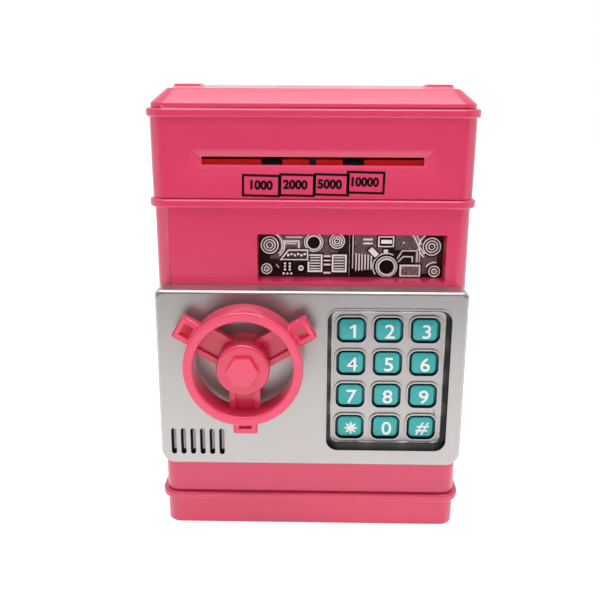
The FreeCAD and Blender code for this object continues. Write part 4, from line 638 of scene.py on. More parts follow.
def door_painted_shade(corner, middle, normal):
    """Painted shade: full in wells, slots and keypad mouth, less down its wall, none on its floor.

    The nearest key is found by the remainder of the place over the pitch of the keys, and the
    distance to its rounded well is the length of the two overhangs past the well's straights.
    """
    depth = middle[:, 1] - door_low[1]
    aside, above = middle[:, 0] - keypad_x, middle[:, 2] - keypad_z
    keypad = (np.abs(aside) < KEYPAD_HALF[0]) & (np.abs(above) < KEYPAD_HALF[1])
    rim = (np.abs(aside) > FLOOR_SIDE) | (above > FLOOR_TOP) | (above < FLOOR_FOOT)
    wall = keypad & rim & (normal[:, 1] >= FACES_FRONT) & (depth < KEYPAD_RECESS)
    to_column = np.abs((aside / KEY_ACROSS + 0.5) % 1.0 - 0.5) * KEY_ACROSS
    to_row = np.abs((above / KEY_UP) % 1.0 - 0.5) * KEY_UP
    to_well = np.hypot(np.maximum(to_column - WELL_HALF[0] + WELL_ROUND, 0),
                       np.maximum(to_row - WELL_HALF[1] + WELL_ROUND, 0))
    steep = normal[:, 1] > FACES_INTO_WELL
    well = (keypad & ~rim & steep & (depth > KEYPAD_RECESS - 0.75)
            & (to_well < WELL_ROUND + WELL_EDGE))
    slot = ((np.abs(middle[:, 0] - slots_x) < SLOTS_HALF[0])
            & (np.abs(middle[:, 2] - slots_z) < SLOTS_HALF[1])
            & steep & (depth > SLOTS_DEPTH[0]) & (depth < SLOTS_DEPTH[1]))
    mouth = MOUTH_SHADE - SHADE_LOSS * (corner[:, 1] - door_low[1])
    return np.where(wall, mouth, np.where(well | slot, 1.0, 0.0))


shaded(door_skins[0], door_painted_shade)
print("shade at the keypad's mouth:", MOUTH_SHADE)

# %% Where the wheel has painted shade
RING_RADIUS, RING_INNER, NUT_HEIGHT, RING_DEPTH, HUB_RADIUS = 23.3, 19.4, 2.6, 12.0, 10.5
# Strengths of the painted shade in the ring, on the hub and in the lugs' pockets.
RING_SHADE, HUB_SHADE, POCKET_SHADE = 0.85, 0.34, 0.85
AXIS_FROM_EDGE, AXIS_LEVEL, AXIS_PLAY = 36.1, 82.0, 0.3
POCKET_SHARE, FACES_OUT = 0.68, -0.7
wheel_axis = (door_low[0] + AXIS_FROM_EDGE, AXIS_LEVEL)


def wheel_painted_shade(corner, middle, normal):
    """Painted shade: grows in the ring front to back, sits on the hub and fills the lugs' pockets.
    """
    depth = (corner[:, 1] - wheel_low[1] - NUT_HEIGHT) / RING_DEPTH
    radius = np.hypot(corner[:, 0] - wheel_axis[0], corner[:, 2] - wheel_axis[1])
    far = np.hypot(middle[:, 0] - wheel_axis[0], middle[:, 2] - wheel_axis[1])
    inside = np.where(radius < RING_INNER + AXIS_PLAY, RING_SHADE * np.clip(depth, 0, 1), 0.0)
    hub = np.where((radius < HUB_RADIUS) & (depth > -0.02), HUB_SHADE, 0.0)
    floor = middle[:, 1] - wheel_low[1] - NUT_HEIGHT > POCKET_SHARE * RING_DEPTH
    pocket = (far > RING_RADIUS + AXIS_PLAY) & floor & (normal[:, 1] < FACES_OUT)
    return np.maximum(np.maximum(inside, hub), np.where(pocket, POCKET_SHADE, 0.0))


shaded(wheel_skin, wheel_painted_shade)
print("wheel axis:", wheel_axis, "lowest", np.round(wheel_low, 2))

# %% [markdown]
# ## The keys
# Each key is a small pillow: a rounded rectangle with a soft edge and a top that crowns slightly
# towards its middle, so that a long highlight lies along its upper edge. The profile runs up the
# side wall, round a quarter circle at the edge and over the crown. The outline shrinks with it.
# The colour is painted darker down the sides as painted shade, most at the top and the left,
# where the well shades them.

# %% Key caps
KEY_EDGE, KEY_CROWN, KEY_CORNER = 0.9, 0.30, 2.2
KEY_FLANGE, KEY_FLANGE_DEPTH = 1.3, 0.8
CROWN_END, CORNER_SHRINK = 0.06, 0.8
SIDE_START, SIDE_RUN, LOWER_RIGHT_SHARE = 0.10, 0.40, 0.55


def key_cap(node):
    """Loft up the wall, round the edge as a quarter circle, then over a paraboloid crown."""
    low, high = corners_of(node)
    middle_x, middle_z = (low[0] + high[0]) / 2, (low[2] + high[2]) / 2
    half_x = (high[0] - low[0]) / 2 - KEY_FLANGE
    half_z = (high[2] - low[2]) / 2 - KEY_FLANGE
    seat = high[1] - KEY_FLANGE_DEPTH
    bend = np.linspace(0, np.pi / 2, 7)
    share = np.linspace(1, CROWN_END, 9)[1:]
    edge_in = KEY_EDGE * (1 - np.cos(bend))
    edge_y = low[1] + KEY_EDGE * (1 - np.sin(bend))
    rows = [rounded_outline(half_x + KEY_FLANGE, half_z + KEY_FLANGE, KEY_CORNER)] * 2
    rows += [rounded_outline(half_x, half_z, KEY_CORNER)]
    rows += [rounded_outline(half_x - step, half_z - step, KEY_CORNER - step * CORNER_SHRINK)
             for step in edge_in]
    rows += [rows[-1] * scale for scale in share]
    depths = [high[1], seat, seat, *edge_y, *(low[1] - KEY_CROWN * (1 - share ** 2))]
    cap = lofted(node + "_cap", rows, depths, smooth_angle=40.0)
    place_at(cap, (middle_x, 0.0, middle_z))

    def side_painted_shade(corner, _middle, _normal):
        """Painted shade: grows with depth below the crown's edge, full on the upper and left
        sides.
        """
        upper_left = (corner[:, 2] - middle_z) / half_z - (corner[:, 0] - middle_x) / half_x
        reach = np.where(upper_left > 0, 1.0, LOWER_RIGHT_SHARE)
        return reach * np.clip((corner[:, 1] - low[1] - SIDE_START) / SIDE_RUN, 0, 1)

    shaded(cap, side_painted_shade)
    placed(cap, body_of_node[node], finish["teal_plastic"])
    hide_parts(node)
    return cap


key_names = ["1", "2", "3", "4", "5", "6", "7", "8", "9", "star", "0", "hash"]
caps = [key_cap("key_" + name) for name in key_names]
print("key caps:", len(caps))

# %% [markdown]
# ## Raised characters
# The figures are moulded proud of each key and painted white. A text curve gives the outline;
# it is thickened a little for weight, made a mesh, centred by its own box and laid on the key.
# The rotation that stands it up sends the text's Y to the model's Z and its Z to minus Y. The
# figure 1 has its own outline, a slanted flag on a plain stem, and is a short loft.

# %% Text as a mesh
TEXT_SIZE, TEXT_EDGE = 10.0, 0.04


def raised_text(name, words, height, thickness, weight, place, stretch, lean=0.0, turn=0.0):
    """Text mesh centred on a place in mm: leaned by x + lean * z, then turned about Y.

    The weight, in millimetres at the text's first size, is what thickens its strokes.
    """
    curve = bpy.data.curves.new(name, "FONT")
    curve.body = words
    curve.size = TEXT_SIZE * MM
    curve.extrude = thickness / 2 * MM
    curve.offset = weight * MM
    curve.bevel_depth = TEXT_EDGE * MM
    curve.resolution_u = 6
    source = bpy.data.objects.new(name, curve)
    bpy.context.scene.collection.objects.link(source)
    bpy.context.view_layer.update()
    graph = bpy.context.evaluated_depsgraph_get()
    mesh = bpy.data.meshes.new_from_object(source.evaluated_get(graph))
    bpy.data.objects.remove(source)
    bpy.data.curves.remove(curve)
    flat = mesh_points(mesh)
    flat -= (flat.min(axis=0) + flat.max(axis=0)) / 2
    flat[:, :2] *= height * MM / np.ptp(flat[:, 1])
    across = flat[:, 0] * stretch + lean * flat[:, 1]
    angle = np.radians(turn)
    points = np.stack([across * np.cos(angle) + flat[:, 1] * np.sin(angle) + place[0] * MM,
                       place[1] * MM - flat[:, 2],
                       flat[:, 1] * np.cos(angle) - across * np.sin(angle) + place[2] * MM],
                      axis=-1)
    move_points(mesh, points)
    return linked_piece(name, mesh, 35.0)


print("text is drawn at", TEXT_SIZE, "mm and scaled")

# %% Where a figure sits
FIGURE_HEIGHT, FIGURE_HALF_DEPTH, FIGURE_WEIGHT, FIGURE_STRETCH = 5.9, 0.18, 0.05, 1.08
FIGURE_RIGHT, FIGURE_DOWN, FIGURE_PROUD = 0.55, 0.50, 0.02
figure_white = moulded("figure_white", (0.86, 0.87, 0.86), 0.45, drift=0.03, bump=0.01)


def key_place(name):
    """Middle of a key's face, a little right of centre and below it."""
    low, high = corners_of("key_" + name)
    return np.array([(low[0] + high[0]) / 2 + FIGURE_RIGHT, low[1] - KEY_CROWN - FIGURE_PROUD,
                     (low[2] + high[2]) / 2 - FIGURE_DOWN])


def on_key(figure, name):
    """Paints a figure white and lets it ride on its key."""
    return placed(figure, body_of_node["key_" + name], figure_white)


print("figures are", FIGURE_HEIGHT, "mm high")

# %% Figures and hash
ONE_OUTLINE = np.array([(0.20, -0.50), (0.20, 0.50), (0.02, 0.50), (-0.26, 0.31), (-0.19, 0.17),
                        (0.00, 0.29), (0.00, -0.50)])
ONE_SHARE, ONE_ASIDE = 0.94, (0.15, 0.0, 0.0)
HASH_SHARE, HASH_LEAN = 0.92, 0.28
one = lofted("figure_1", [ONE_OUTLINE * FIGURE_HEIGHT * ONE_SHARE] * 2,
             [-FIGURE_HALF_DEPTH, FIGURE_HALF_DEPTH])
figures = [on_key(place_at(one, key_place("1") + ONE_ASIDE), "1")]
for name in key_names:
    if name in ("1", "star"):
        continue
    words, share, lean = ("#", HASH_SHARE, HASH_LEAN) if name == "hash" else (name, 1.0, 0.0)
    figure = raised_text("figure_" + name, words, FIGURE_HEIGHT * share, 2 * FIGURE_HALF_DEPTH,
                         FIGURE_WEIGHT, key_place(name), FIGURE_STRETCH, lean=lean)
    figures.append(on_key(figure, name))
print("figures:", len(figures))

# %% The star
PETALS, PETAL_POWER, STAR_POINTS = 8, 0.55, 160
STAR_FOOT, STAR_TOP, STAR_SHOULDER = (0.75, 2.75), (0.6, 2.62), -0.12


def star_outline(inner, outer):
    """Closed curve in polar form: radius swings from inner to outer once for every petal."""
    angle = np.linspace(0, 2 * np.pi, STAR_POINTS, endpoint=False)
    swell = (0.5 + 0.5 * np.cos(PETALS * angle)) ** PETAL_POWER
    radius = inner + (outer - inner) * swell
    return np.stack([radius * np.sin(angle), radius * np.cos(angle)], axis=-1)


star = lofted("figure_star", [star_outline(*STAR_FOOT)] * 2 + [star_outline(*STAR_TOP)],
              [FIGURE_HALF_DEPTH, STAR_SHOULDER, -FIGURE_HALF_DEPTH])
on_key(place_at(star, key_place("star")), "star")
print("star petals:", PETALS)

# %% [markdown]
# ## The printed values
# Four black frames with a banknote's value in each are printed under the slot, one slightly
# over the next and all a little askew, as a cheap stamp leaves them. Each frame is a closed
# strip: an outer and an inner rectangle, twice, a hair proud of the case. The wall's own points
# say how far forward it stands there. The shell's box doesn't, as its hinge reaches further out.

# %% Frame strip
PRINT_RISE, PRINT_TURN = 0.05, 1.2
FRAME_BAR, FRAME_ROUND = 0.90, (0.12, 0.05)
print_black = moulded("print_black", (0.002, 0.002, 0.002), 0.60, drift=0.2, bump=0.01,
                      specular=0.1)


def turned_flat(points, turn):
    """Rotates (x, z) points clockwise by an angle in degrees."""
    angle = np.radians(turn)
    rotate = np.array([[np.cos(angle), -np.sin(angle)], [np.sin(angle), np.cos(angle)]])
    return points @ rotate


def value_frame(name, width, height, place):
    """Strip between two rectangles, as a grid that closes on itself both ways."""
    half = np.array([width, height]) / 2
    outer = turned_flat(rounded_outline(*half, FRAME_ROUND[0], 3), PRINT_TURN)
    inner = turned_flat(rounded_outline(*(half - FRAME_BAR), FRAME_ROUND[1], 3), PRINT_TURN)
    rows = np.stack([outer, outer, inner, inner])
    depths = np.repeat([PRINT_RISE, -PRINT_RISE, -PRINT_RISE, PRINT_RISE], len(outer))
    flat = rows.reshape(-1, 2)
    points = np.stack([flat[:, 0], depths, flat[:, 1]], axis=-1) + np.array(place)
    faces = grid_faces(4, len(outer), close_columns=True, close_rows=True)
    piece = turn_faces_out(mesh_object(name, points, faces))
    return placed(piece, "case", print_black)


print("frame bar:", FRAME_BAR, "mm")

# %% Value frames and values
PRINT_LOW, PRINT_HIGH = 145.0, 156.0
VALUE_HEIGHT, VALUE_WEIGHT, VALUE_UP = 3.775, 0.44, 0.25
shell_points = mesh_points(nodes["body_shell"].data) / MM
beside_print = (shell_points[:, 2] > PRINT_LOW) & (shell_points[:, 2] < PRINT_HIGH)
upper_front = shell_points[beside_print, 1].min()
# Each row: the value, its frame's middle (x, z), width and height, and the shift and stretch
# of its figures.
value_table = [("1000", -20.06, 149.57, 15.0, 8.77, 0.2, 1.0),
               ("2000", -5.98, 149.82, 14.08, 8.98, -0.7, 1.0),
               ("5000", 7.48, 150.08, 13.98, 8.77, -0.7, 1.0),
               ("10000", 20.75, 150.99, 15.0, 8.88, -0.2, 0.96)]
for value, x, z, width, height, aside, stretch in value_table:
    value_frame("frame_" + value, width, height, (x, upper_front, z))
    digits = raised_text("value_" + value, value, VALUE_HEIGHT, 2 * PRINT_RISE, VALUE_WEIGHT,
                         (x + aside, upper_front, z + VALUE_UP), stretch, turn=PRINT_TURN)
    placed(digits, "case", print_black)
print("value frames:", len(value_table), "on the wall at", round(upper_front, 2), "mm")

# %% [markdown]
# ## The machinery panel
# Behind the window sits a moulding of make-believe machinery: bolts, ports, grilles, pipes
# and fins. Its colours are painted light and shade: a dark ground, raised lines painted bright as
# painted highlights, and gaps round the motifs and bores painted darker still as painted shade.
# It is one height field over a fine grid. Every motif is a signed distance, negative inside its
# shape. The height rises smoothly from the shape's border inwards, and where motifs meet, the
# higher one wins.

# %% Panel grid
PANEL_PITCH, PANEL_THICKNESS = 0.2, 1.8
WINDOW_WIDTH, WINDOW_HEIGHT, TUNNEL_WALL = 75.7, 19.5, 1.6
panel_low, panel_high = corners_of("relief_panel")
panel_x = (panel_low[0] + panel_high[0]) / 2
panel_z = (panel_low[2] + panel_high[2]) / 2
panel_back = panel_high[1]
panel_face = panel_back - PANEL_THICKNESS
half_u, half_v = WINDOW_WIDTH / 2 + TUNNEL_WALL, WINDOW_HEIGHT / 2 + TUNNEL_WALL
columns_u = int(round(2 * half_u / PANEL_PITCH)) + 1
rows_v = int(round(2 * half_v / PANEL_PITCH)) + 1
U, V = np.meshgrid(np.linspace(-half_u, half_u, columns_u), np.linspace(-half_v, half_v, rows_v))
print("panel grid:", U.shape)

# %% Distances to the motifs
FAR = 1e3


def disc_distance(x, z, radius):
    """Distance from a circle: length to the centre less the radius."""
    return np.hypot(U - x, V - z) - radius


def ring_distance(x, z, radius, width):
    """Distance from a ring: how far the length to the centre is from the radius, less half."""
    return np.abs(np.hypot(U - x, V - z) - radius) - width / 2


def box_distance(x, z, width, height, turn=0.0):
    """Distance from a turned rectangle: the larger of the two overhangs past its half sides."""
    angle = np.radians(turn)
    along = (U - x) * np.cos(angle) + (V - z) * np.sin(angle)
    across = (V - z) * np.cos(angle) - (U - x) * np.sin(angle)
    return np.maximum(np.abs(along) - width / 2, np.abs(across) - height / 2)


def line_distance(points, width):
    """Distance from a bent line: the nearest of its runs, each clamped between its two ends."""
    best = np.full_like(U, FAR)
    for (x0, z0), (x1, z1) in zip(points, points[1:]):
        length_squared = (x1 - x0) ** 2 + (z1 - z0) ** 2
        share = np.clip(((U - x0) * (x1 - x0) + (V - z0) * (z1 - z0)) / length_squared, 0, 1)
        gap = np.hypot(U - x0 - share * (x1 - x0), V - z0 - share * (z1 - z0))
        best = np.minimum(best, gap - width / 2)
    return best


print("distance in a disc's middle:", disc_distance(0, 0, 2).min().round(1), "mm")

# %% Raising and sinking
SLOPE, RELIEF = 0.3, 0.9
BASE_TONE, TONE_SWING = 0.22, 0.10
height_field = np.zeros_like(U)
# Two crossed waves, each over a few centimetres, keep the bare ground from being one flat grey.
tone_field = BASE_TONE + TONE_SWING * np.sin(U * 0.21 + 0.6) * np.cos(V * 0.27 - 0.3)


def inside_step(distance):
    """Smooth step over one slope, 3 s^2 - 2 s^3: 0 outside a shape and 1 inside it."""
    step = np.clip(-distance / SLOPE + 0.5, 0, 1)
    return step * step * (3 - 2 * step)


def raised(distance, share, tone):
    """Lifts the field inside a shape to a share of the relief; the higher shape wins."""
    step = inside_step(distance)
    lift = step * RELIEF * share
    wins = (lift > height_field) | (step > 0.5)
    np.copyto(tone_field, tone_field + (tone - tone_field) * step, where=wins)
    np.copyto(height_field, np.maximum(height_field, lift))


def sunk(distance, depth, tone):
    """Lowers the field inside a shape to a depth, over the same smooth step."""
    step = inside_step(distance)
    np.copyto(height_field, height_field * (1 - step) + depth * step)
    np.copyto(tone_field, tone_field * (1 - step) + tone * step)


print("relief:", RELIEF, "mm")

# %% Bars, dots and wires
# Tones: LINE is painted highlight, PIT and GAP are painted shade, PLATE is the plates' grey.
LINE, PLATE, PIT, GAP = 1.0, 0.34, 0.12, 0.0


def bar(x, z, width, height, share, tone):
    """Level or upright bar with a middle at (x, z)."""
    raised(box_distance(x, z, width, height), share, tone)


def dot(x, z, radius, share, tone):
    """Round button."""
    raised(disc_distance(x, z, radius), share, tone)


def wire(points, width, share, tone):
    """Rounded line through a row of points."""
    raised(line_distance(points, width), share, tone)


print("tones run from", GAP, "to", LINE)

# %% Machine motifs
STROKE, EDGE_RISE = 0.55, 0.1
OUTLINE_GAP, FRAME_HALF, BIG_BOLT, SLAT_MARGIN = 0.45, 0.4, 3.0, 1.8


def bolt_head(x, z, radius):
    """Concentric rings of painted highlight, of falling size, about a small button, in a gap of
    painted shade.
    """
    sunk(disc_distance(x, z, radius + 0.5), 0.0, GAP)
    for share in ((0.93, 0.62, 0.33) if radius > BIG_BOLT else (0.90, 0.42)):
        raised(ring_distance(x, z, radius * share, STROKE), 1.0, LINE)
    dot(x, z, 0.32, 1.0, 0.7)


def pipe_port(x, z, radius):
    """Thick double collar of painted highlight about a bore of painted shade."""
    sunk(disc_distance(x, z, radius + 0.3), 0.0, GAP)
    raised(ring_distance(x, z, radius - 0.25, 0.5), 0.8, LINE)
    raised(ring_distance(x, z, radius - 1.15, 0.7), 1.5, LINE)
    sunk(disc_distance(x, z, radius - 1.7), -0.5, PIT)


def outlined(distance, share, tone=PLATE):
    """Plate in a painted highlight outline and a painted shade gap: the same distance is used
    three times.
    """
    sunk(distance - OUTLINE_GAP, 0.0, GAP)
    raised(distance, share, tone)
    raised(np.abs(distance + STROKE / 2) - STROKE / 2, share + EDGE_RISE / RELIEF, LINE)


def grille(x, z, width, height, slats):
    """Frame and level slats of painted highlight round a field of painted shade."""
    frame = box_distance(x, z, width, height)
    sunk(frame - FRAME_HALF, 0.0, GAP)
    raised(np.abs(frame + FRAME_HALF) - FRAME_HALF, 1.0, LINE)
    field = height - SLAT_MARGIN
    pitch = field / slats
    for i in range(slats):
        bar(x, z - field / 2 + pitch * (i + 0.5), width - 2.1, pitch * 0.5, 0.8, 0.95)


def arc_line(x, z, radius, start, end):
    """Part of a ring of painted highlight between two bearings in degrees."""
    bearing = (np.degrees(np.arctan2(V - z, U - x)) - start) % 360
    beyond = np.where(bearing < (end - start) % 360, 0.0, FAR)
    raised(ring_distance(x, z, radius, 0.45) + beyond, 0.7, 0.85)


print("stroke:", STROKE, "mm")

# %% [markdown]
# The ground is made first: broad plates in two greys, then what stands on them, from the
# largest shape to the smallest. Places and sizes are in millimetres from the panel's middle, and
# the two last numbers of a bar, dot or wire are its height, as a share of the relief, and its
# tone. A faint grain over everything keeps the painted light and shade from looking printed.

# %% Ground plates
GROUND_RISE, GROUND_TONE = 0.22, 0.40
for plate in ((-24.6, 3.0, 17.0, 10.5), (7.0, 4.2, 12.0, 9.0), (24.2, 5.6, 12.5, 7.6),
              (-10.0, 4.0, 10.0, 9.6), (31.0, -3.6, 9.0, 9.0)):
    bar(*plate, GROUND_RISE / RELIEF, GROUND_TONE)
print("ground:", GROUND_RISE, "mm above the panel's face")

# %% Bolts, ports and grilles
for bolt in ((-33.3, 3.6, 3.7), (-34.6, -6.4, 2.3), (33.2, 3.4, 3.8), (34.6, -7.0, 2.4),
             (-5.6, 5.4, 3.2)):
    bolt_head(*bolt)
pipe_port(-15.2, 4.8, 4.0)
pipe_port(14.9, -5.2, 4.5)
grille(-14.6, -3.9, 6.2, 7.6, 5)
grille(-4.6, -3.9, 6.2, 7.6, 5)
for arc in ((-33.3, 3.6, 5.2, -45, 60), (-33.3, 3.6, 6.1, -50, 20), (33.2, 3.4, 5.3, 120, 235),
            (34.6, -7.0, 3.8, 80, 150), (14.9, -5.2, 5.6, 60, 215)):
    arc_line(*arc)
print("highest motif:", height_field.max().round(2), "mm")

# %% Left half
wire([(-27.0, 5.3), (-21.3, 5.3), (-21.3, 2.6)], 0.55, 1.0, LINE)
wire([(-26.4, 6.9), (-20.2, 6.9)], 0.45, 1.0, 0.8)
wire([(-26.8, 4.3), (-22.4, 4.3)], 0.4, 1.0, 0.9)
slanted_end = -0.78 * (U + 29.4) + 0.63 * (V + 2.7)
outlined(np.maximum(box_distance(-23.4, -0.4, 12.0, 4.6), slanted_end), 1.0)
for i in range(6):
    dot(-25.6 + 1.35 * i, -0.5 + 0.5 * (i % 2), 0.5, 1.2, 0.75)
sunk(box_distance(-26.0, -5.6, 4.2, 5.4), 0.0, GAP)
for i in range(6):
    dot(-27.0 + 2.0 * (i % 2), -4.1 - 1.3 * (i // 2), 0.55, 1.0, 0.8)
for i in range(3):
    dot(-27.6 + 1.6 * i, -8.4, 0.5, 1.0, 0.95)
sunk(disc_distance(-20.4, -6.0, 2.0), 0.0, GAP)
raised(ring_distance(-20.4, -6.0, 0.85, 0.7), 1.0, LINE)
wire([(-30.5, -4.6), (-29.6, -5.8)], 0.5, 1.0, 0.6)
for i, tone in enumerate((0.95, 0.35, 0.9, 0.7, 0.95)):
    bar(-9.6, -8.0 + i * 1.75, 2.9, 0.75, 0.8, tone)
print("left half's mean tone:", tone_field[U < 0].mean().round(3))

# %% Right half
sunk(box_distance(0.6, 0.0, 1.6, WINDOW_HEIGHT), 0.0, GAP)
bar(0.9, 1.4, 0.5, 15.0, 1.0, 0.85)
bar(-0.5, 0.0, 0.6, 18.0, 0.8, 0.45)
for i in range(6):
    bar(2.3 + 1.25 * i, -3.4, 0.55, 7.4 - 0.3 * i, 1.0, 0.95)
for i in range(2):
    bar(7.0, 6.2 - 1.7 * i, 3.8, 0.6, 0.8, 0.95)
outlined(box_distance(14.4, 5.4, 6.6, 4.6), 1.1, 0.1)
bar(14.6, 5.4, 4.4, 1.5, 1.2, 0.95)
bar(14.4, 1.4, 1.8, 1.4, 0.8, 0.7)
outlined(box_distance(9.4, 0.9, 2.2, 4.2, 45), 1.0, 0.6)
wire([(19.8, -2.9), (21.6, -0.9), (25.4, -0.9), (25.4, -3.0)], 0.5, 1.0, 1.0)
wire([(19.3, -1.6), (21.2, 1.6), (26.6, 1.6)], 0.5, 1.0, 0.95)
wire([(27.3, 2.0), (27.3, -2.9)], 0.45, 1.0, 0.85)
wire([(28.3, 2.0), (28.3, -2.9)], 0.4, 0.8, 0.6)
outlined(box_distance(24.6, -6.8, 8.6, 5.0), 0.8, 0.42)
wire([(25.4, 8.2), (27.9, 3.6), (30.2, 0.4)], 0.5, 1.0, 0.95)
wire([(26.6, 8.4), (29.0, 4.2)], 0.4, 0.8, 0.7)
dot(21.6, 4.9, 0.4, 0.5, 0.6)
print("right half's mean tone:", tone_field[U > 0].mean().round(3))

# %% Panel surface
PANEL_MARGIN, RIM_TONE = 0.3, 0.2


def panel_surface():
    """The height field as a closed slab: face grid, four side strips and a back face."""
    inside = ((np.abs(U) < WINDOW_WIDTH / 2 - PANEL_MARGIN)
              & (np.abs(V) < WINDOW_HEIGHT / 2 - PANEL_MARGIN))
    lift = np.where(inside, height_field, 0.0)
    face = np.stack([U + panel_x, panel_face - lift, V + panel_z], axis=-1).reshape(-1, 3)
    index = np.arange(len(face)).reshape(rows_v, columns_u)
    rim = np.concatenate([index[0], index[1:, -1], index[-1, -2::-1], index[-2:0:-1, 0]])
    rim_back = face[rim].copy()
    rim_back[:, 1] = panel_back
    back = len(face) + np.arange(len(rim))
    sides = np.stack([rim, np.roll(rim, -1), np.roll(back, -1), back], axis=-1)
    faces = grid_faces(rows_v, columns_u).tolist() + sides.tolist() + [back[::-1].tolist()]
    piece = mesh_object("machinery_panel", np.concatenate([face, rim_back]), faces, 50.0)
    tone = np.concatenate([np.where(inside, tone_field, RIM_TONE).ravel(),
                           np.full(len(rim), RIM_TONE)])
    layer = piece.data.attributes.new("tone", "FLOAT", "POINT")
    layer.data.foreach_set("value", tone.astype(np.float32))
    return piece


panel_piece = panel_surface()
print("panel faces:", len(panel_piece.data.polygons))

# %% Panel finish
SCUFF_SCALE, SCUFF_SHARE = 900.0, 0.16
# Low tones take the colours of painted shade, high tones those of painted highlight.
PANEL_STOPS = [(0.0, (0.003, 0.002, 0.002)), (1.0, (0.95, 0.93, 0.93)),
               (0.12, (0.010, 0.002, 0.003)), (0.32, (0.036, 0.014, 0.018)),
               (0.42, (0.150, 0.105, 0.108)), (0.56, (0.900, 0.880, 0.880))]
panel_finish = moulded("panel_silvered", (0.1, 0.05, 0.06), 0.55, spread=0.12, bump=0.05,
                       specular=0.15)
panel_tree = panel_finish.node_tree
tone_source = panel_tree.nodes.new("ShaderNodeAttribute")
tone_source.attribute_name = "tone"
scuff = noise_node(panel_tree, own_place(panel_tree), SCUFF_SCALE, 4.0)
scuff = math_node(panel_tree, "SUBTRACT", scuff, 0.5)
scuffed = math_node(panel_tree, "MULTIPLY_ADD", scuff, SCUFF_SHARE, tone_source.outputs["Fac"])
set_base_color(panel_tree, ramp_color(panel_tree, scuffed, PANEL_STOPS))
placed(panel_piece, "case", panel_finish)
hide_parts("relief_panel")
finish["dark_insert"] = panel_finish
print("panel finish:", panel_finish.name)

# %% [markdown]
# ## Boards and cells
# Two finishes get a pattern of their own. The circuit boards are green laminate with copper
# tracks under the lacquer, drawn by a brick pattern whose joints stand for the gaps between
# tracks. The cells are plain black wraps with a band of copper colour at the nub's end, by their
# place along X.

# %% Board laminate
TRACK_SCALE, TRACK_GAP = 220.0, 0.025
TRACK_COLORS = {"Color1": (0.020, 0.130, 0.045), "Color2": (0.045, 0.230, 0.085),
                "Mortar": (0.010, 0.070, 0.025)}
board_finish = moulded("board_laminate", (0.03, 0.16, 0.06), 0.30, coat=0.4, bump=0.02)
board_tree = board_finish.node_tree
tracks = board_tree.nodes.new("ShaderNodeTexBrick")
tracks.inputs["Scale"].default_value = TRACK_SCALE
tracks.inputs["Mortar Size"].default_value = TRACK_GAP
for label, color in TRACK_COLORS.items():
    tracks.inputs[label].default_value = (*color, 1.0)
board_tree.links.new(own_place(board_tree), tracks.inputs["Vector"])
set_base_color(board_tree, tracks.outputs["Color"])
finish["circuit_board"] = board_finish
print("board:", board_finish.name)

# %% Cell wrap
CELL_END, CELL_COPPER = (0.62, 0.60, 0.56), (0.560, 0.270, 0.110)
CELL_STOPS = [(0.0, CELL_END), (1.0, CELL_END), (0.035, (0.030, 0.032, 0.036)),
              (0.74, CELL_COPPER)]
cell_low, cell_high = corners_of("battery_cells")
cell_tree = finish["cell_case"].node_tree
along_cell = math_node(cell_tree, "DIVIDE", own_axes(cell_tree)["X"],
                       (cell_high[0] - cell_low[0]) * MM)
along_cell = math_node(cell_tree, "ADD", along_cell, 0.5)
set_base_color(cell_tree, ramp_color(cell_tree, along_cell, CELL_STOPS, "CONSTANT"))
print("cells:", round(cell_high[0] - cell_low[0], 2), "mm long; finishes:", len(finish))

# %% [markdown]
# ## The speaker's cloth
# A grey cloth lies between the speaker and the slots in the door. Each slot shows it light with a
# dark stripe at one side, where the rib between two slots keeps the light away. So the cloth is
# painted with stripes of painted shadow at the slots' own pitch, and painted dark below the slots'
# foot as painted shade.

# %% Speaker cloth
CLOTH_HALF, CLOTH_ROUND, CLOTH_DEPTHS, CLOTH_DOWN = (13.0, 6.6), 1.0, (-0.12, 0.10), 3.9
RIB_PITCH, RIB_START, RIB_SHARE, RIB_FOOT = 4.0, 0.675, 0.40, 40.0
# The first stop is the painted shadow's near black, the second the cloth's own grey.
CLOTH_STOPS = [(0.0, (0.012, 0.012, 0.013)), (1.0, (0.50, 0.50, 0.49))]
speaker_middle = (speaker_low + speaker_high) / 2
cloth = lofted("speaker_cloth", [rounded_outline(*CLOTH_HALF, CLOTH_ROUND)] * 2, CLOTH_DEPTHS)
place_at(cloth, (speaker_middle[0], speaker_low[1], speaker_middle[2] - CLOTH_DOWN))
cloth_finish = moulded("cloth_grey", (0.5, 0.5, 0.5), 0.85, bump=0.12)
cloth_tree = cloth_finish.node_tree
cloth_axes = own_axes(cloth_tree)
# Painted shadow: dark beside each rib, and dark below the slots' foot.
rib_phase = math_node(cloth_tree, "FRACT", math_node(
    cloth_tree, "MULTIPLY_ADD", cloth_axes["X"], 1 / (RIB_PITCH * MM), RIB_START))
beside_rib = math_node(cloth_tree, "GREATER_THAN", rib_phase, RIB_SHARE)
above_foot = math_node(cloth_tree, "GREATER_THAN", cloth_axes["Z"], RIB_FOOT * MM)
lit = math_node(cloth_tree, "MULTIPLY", beside_rib, above_foot)
set_base_color(cloth_tree, ramp_color(cloth_tree, lit, CLOTH_STOPS))
placed(cloth, "door", cloth_finish)
print("speaker face at", round(speaker_low[1], 2), "mm")

# %% [markdown]
# ## The lip of the banknote slot
# Just inside the slot a red lip leads the note over the feed drum. It leaves a gap along the top
# for the note, and it is notched where the two tyres and the lever come through.

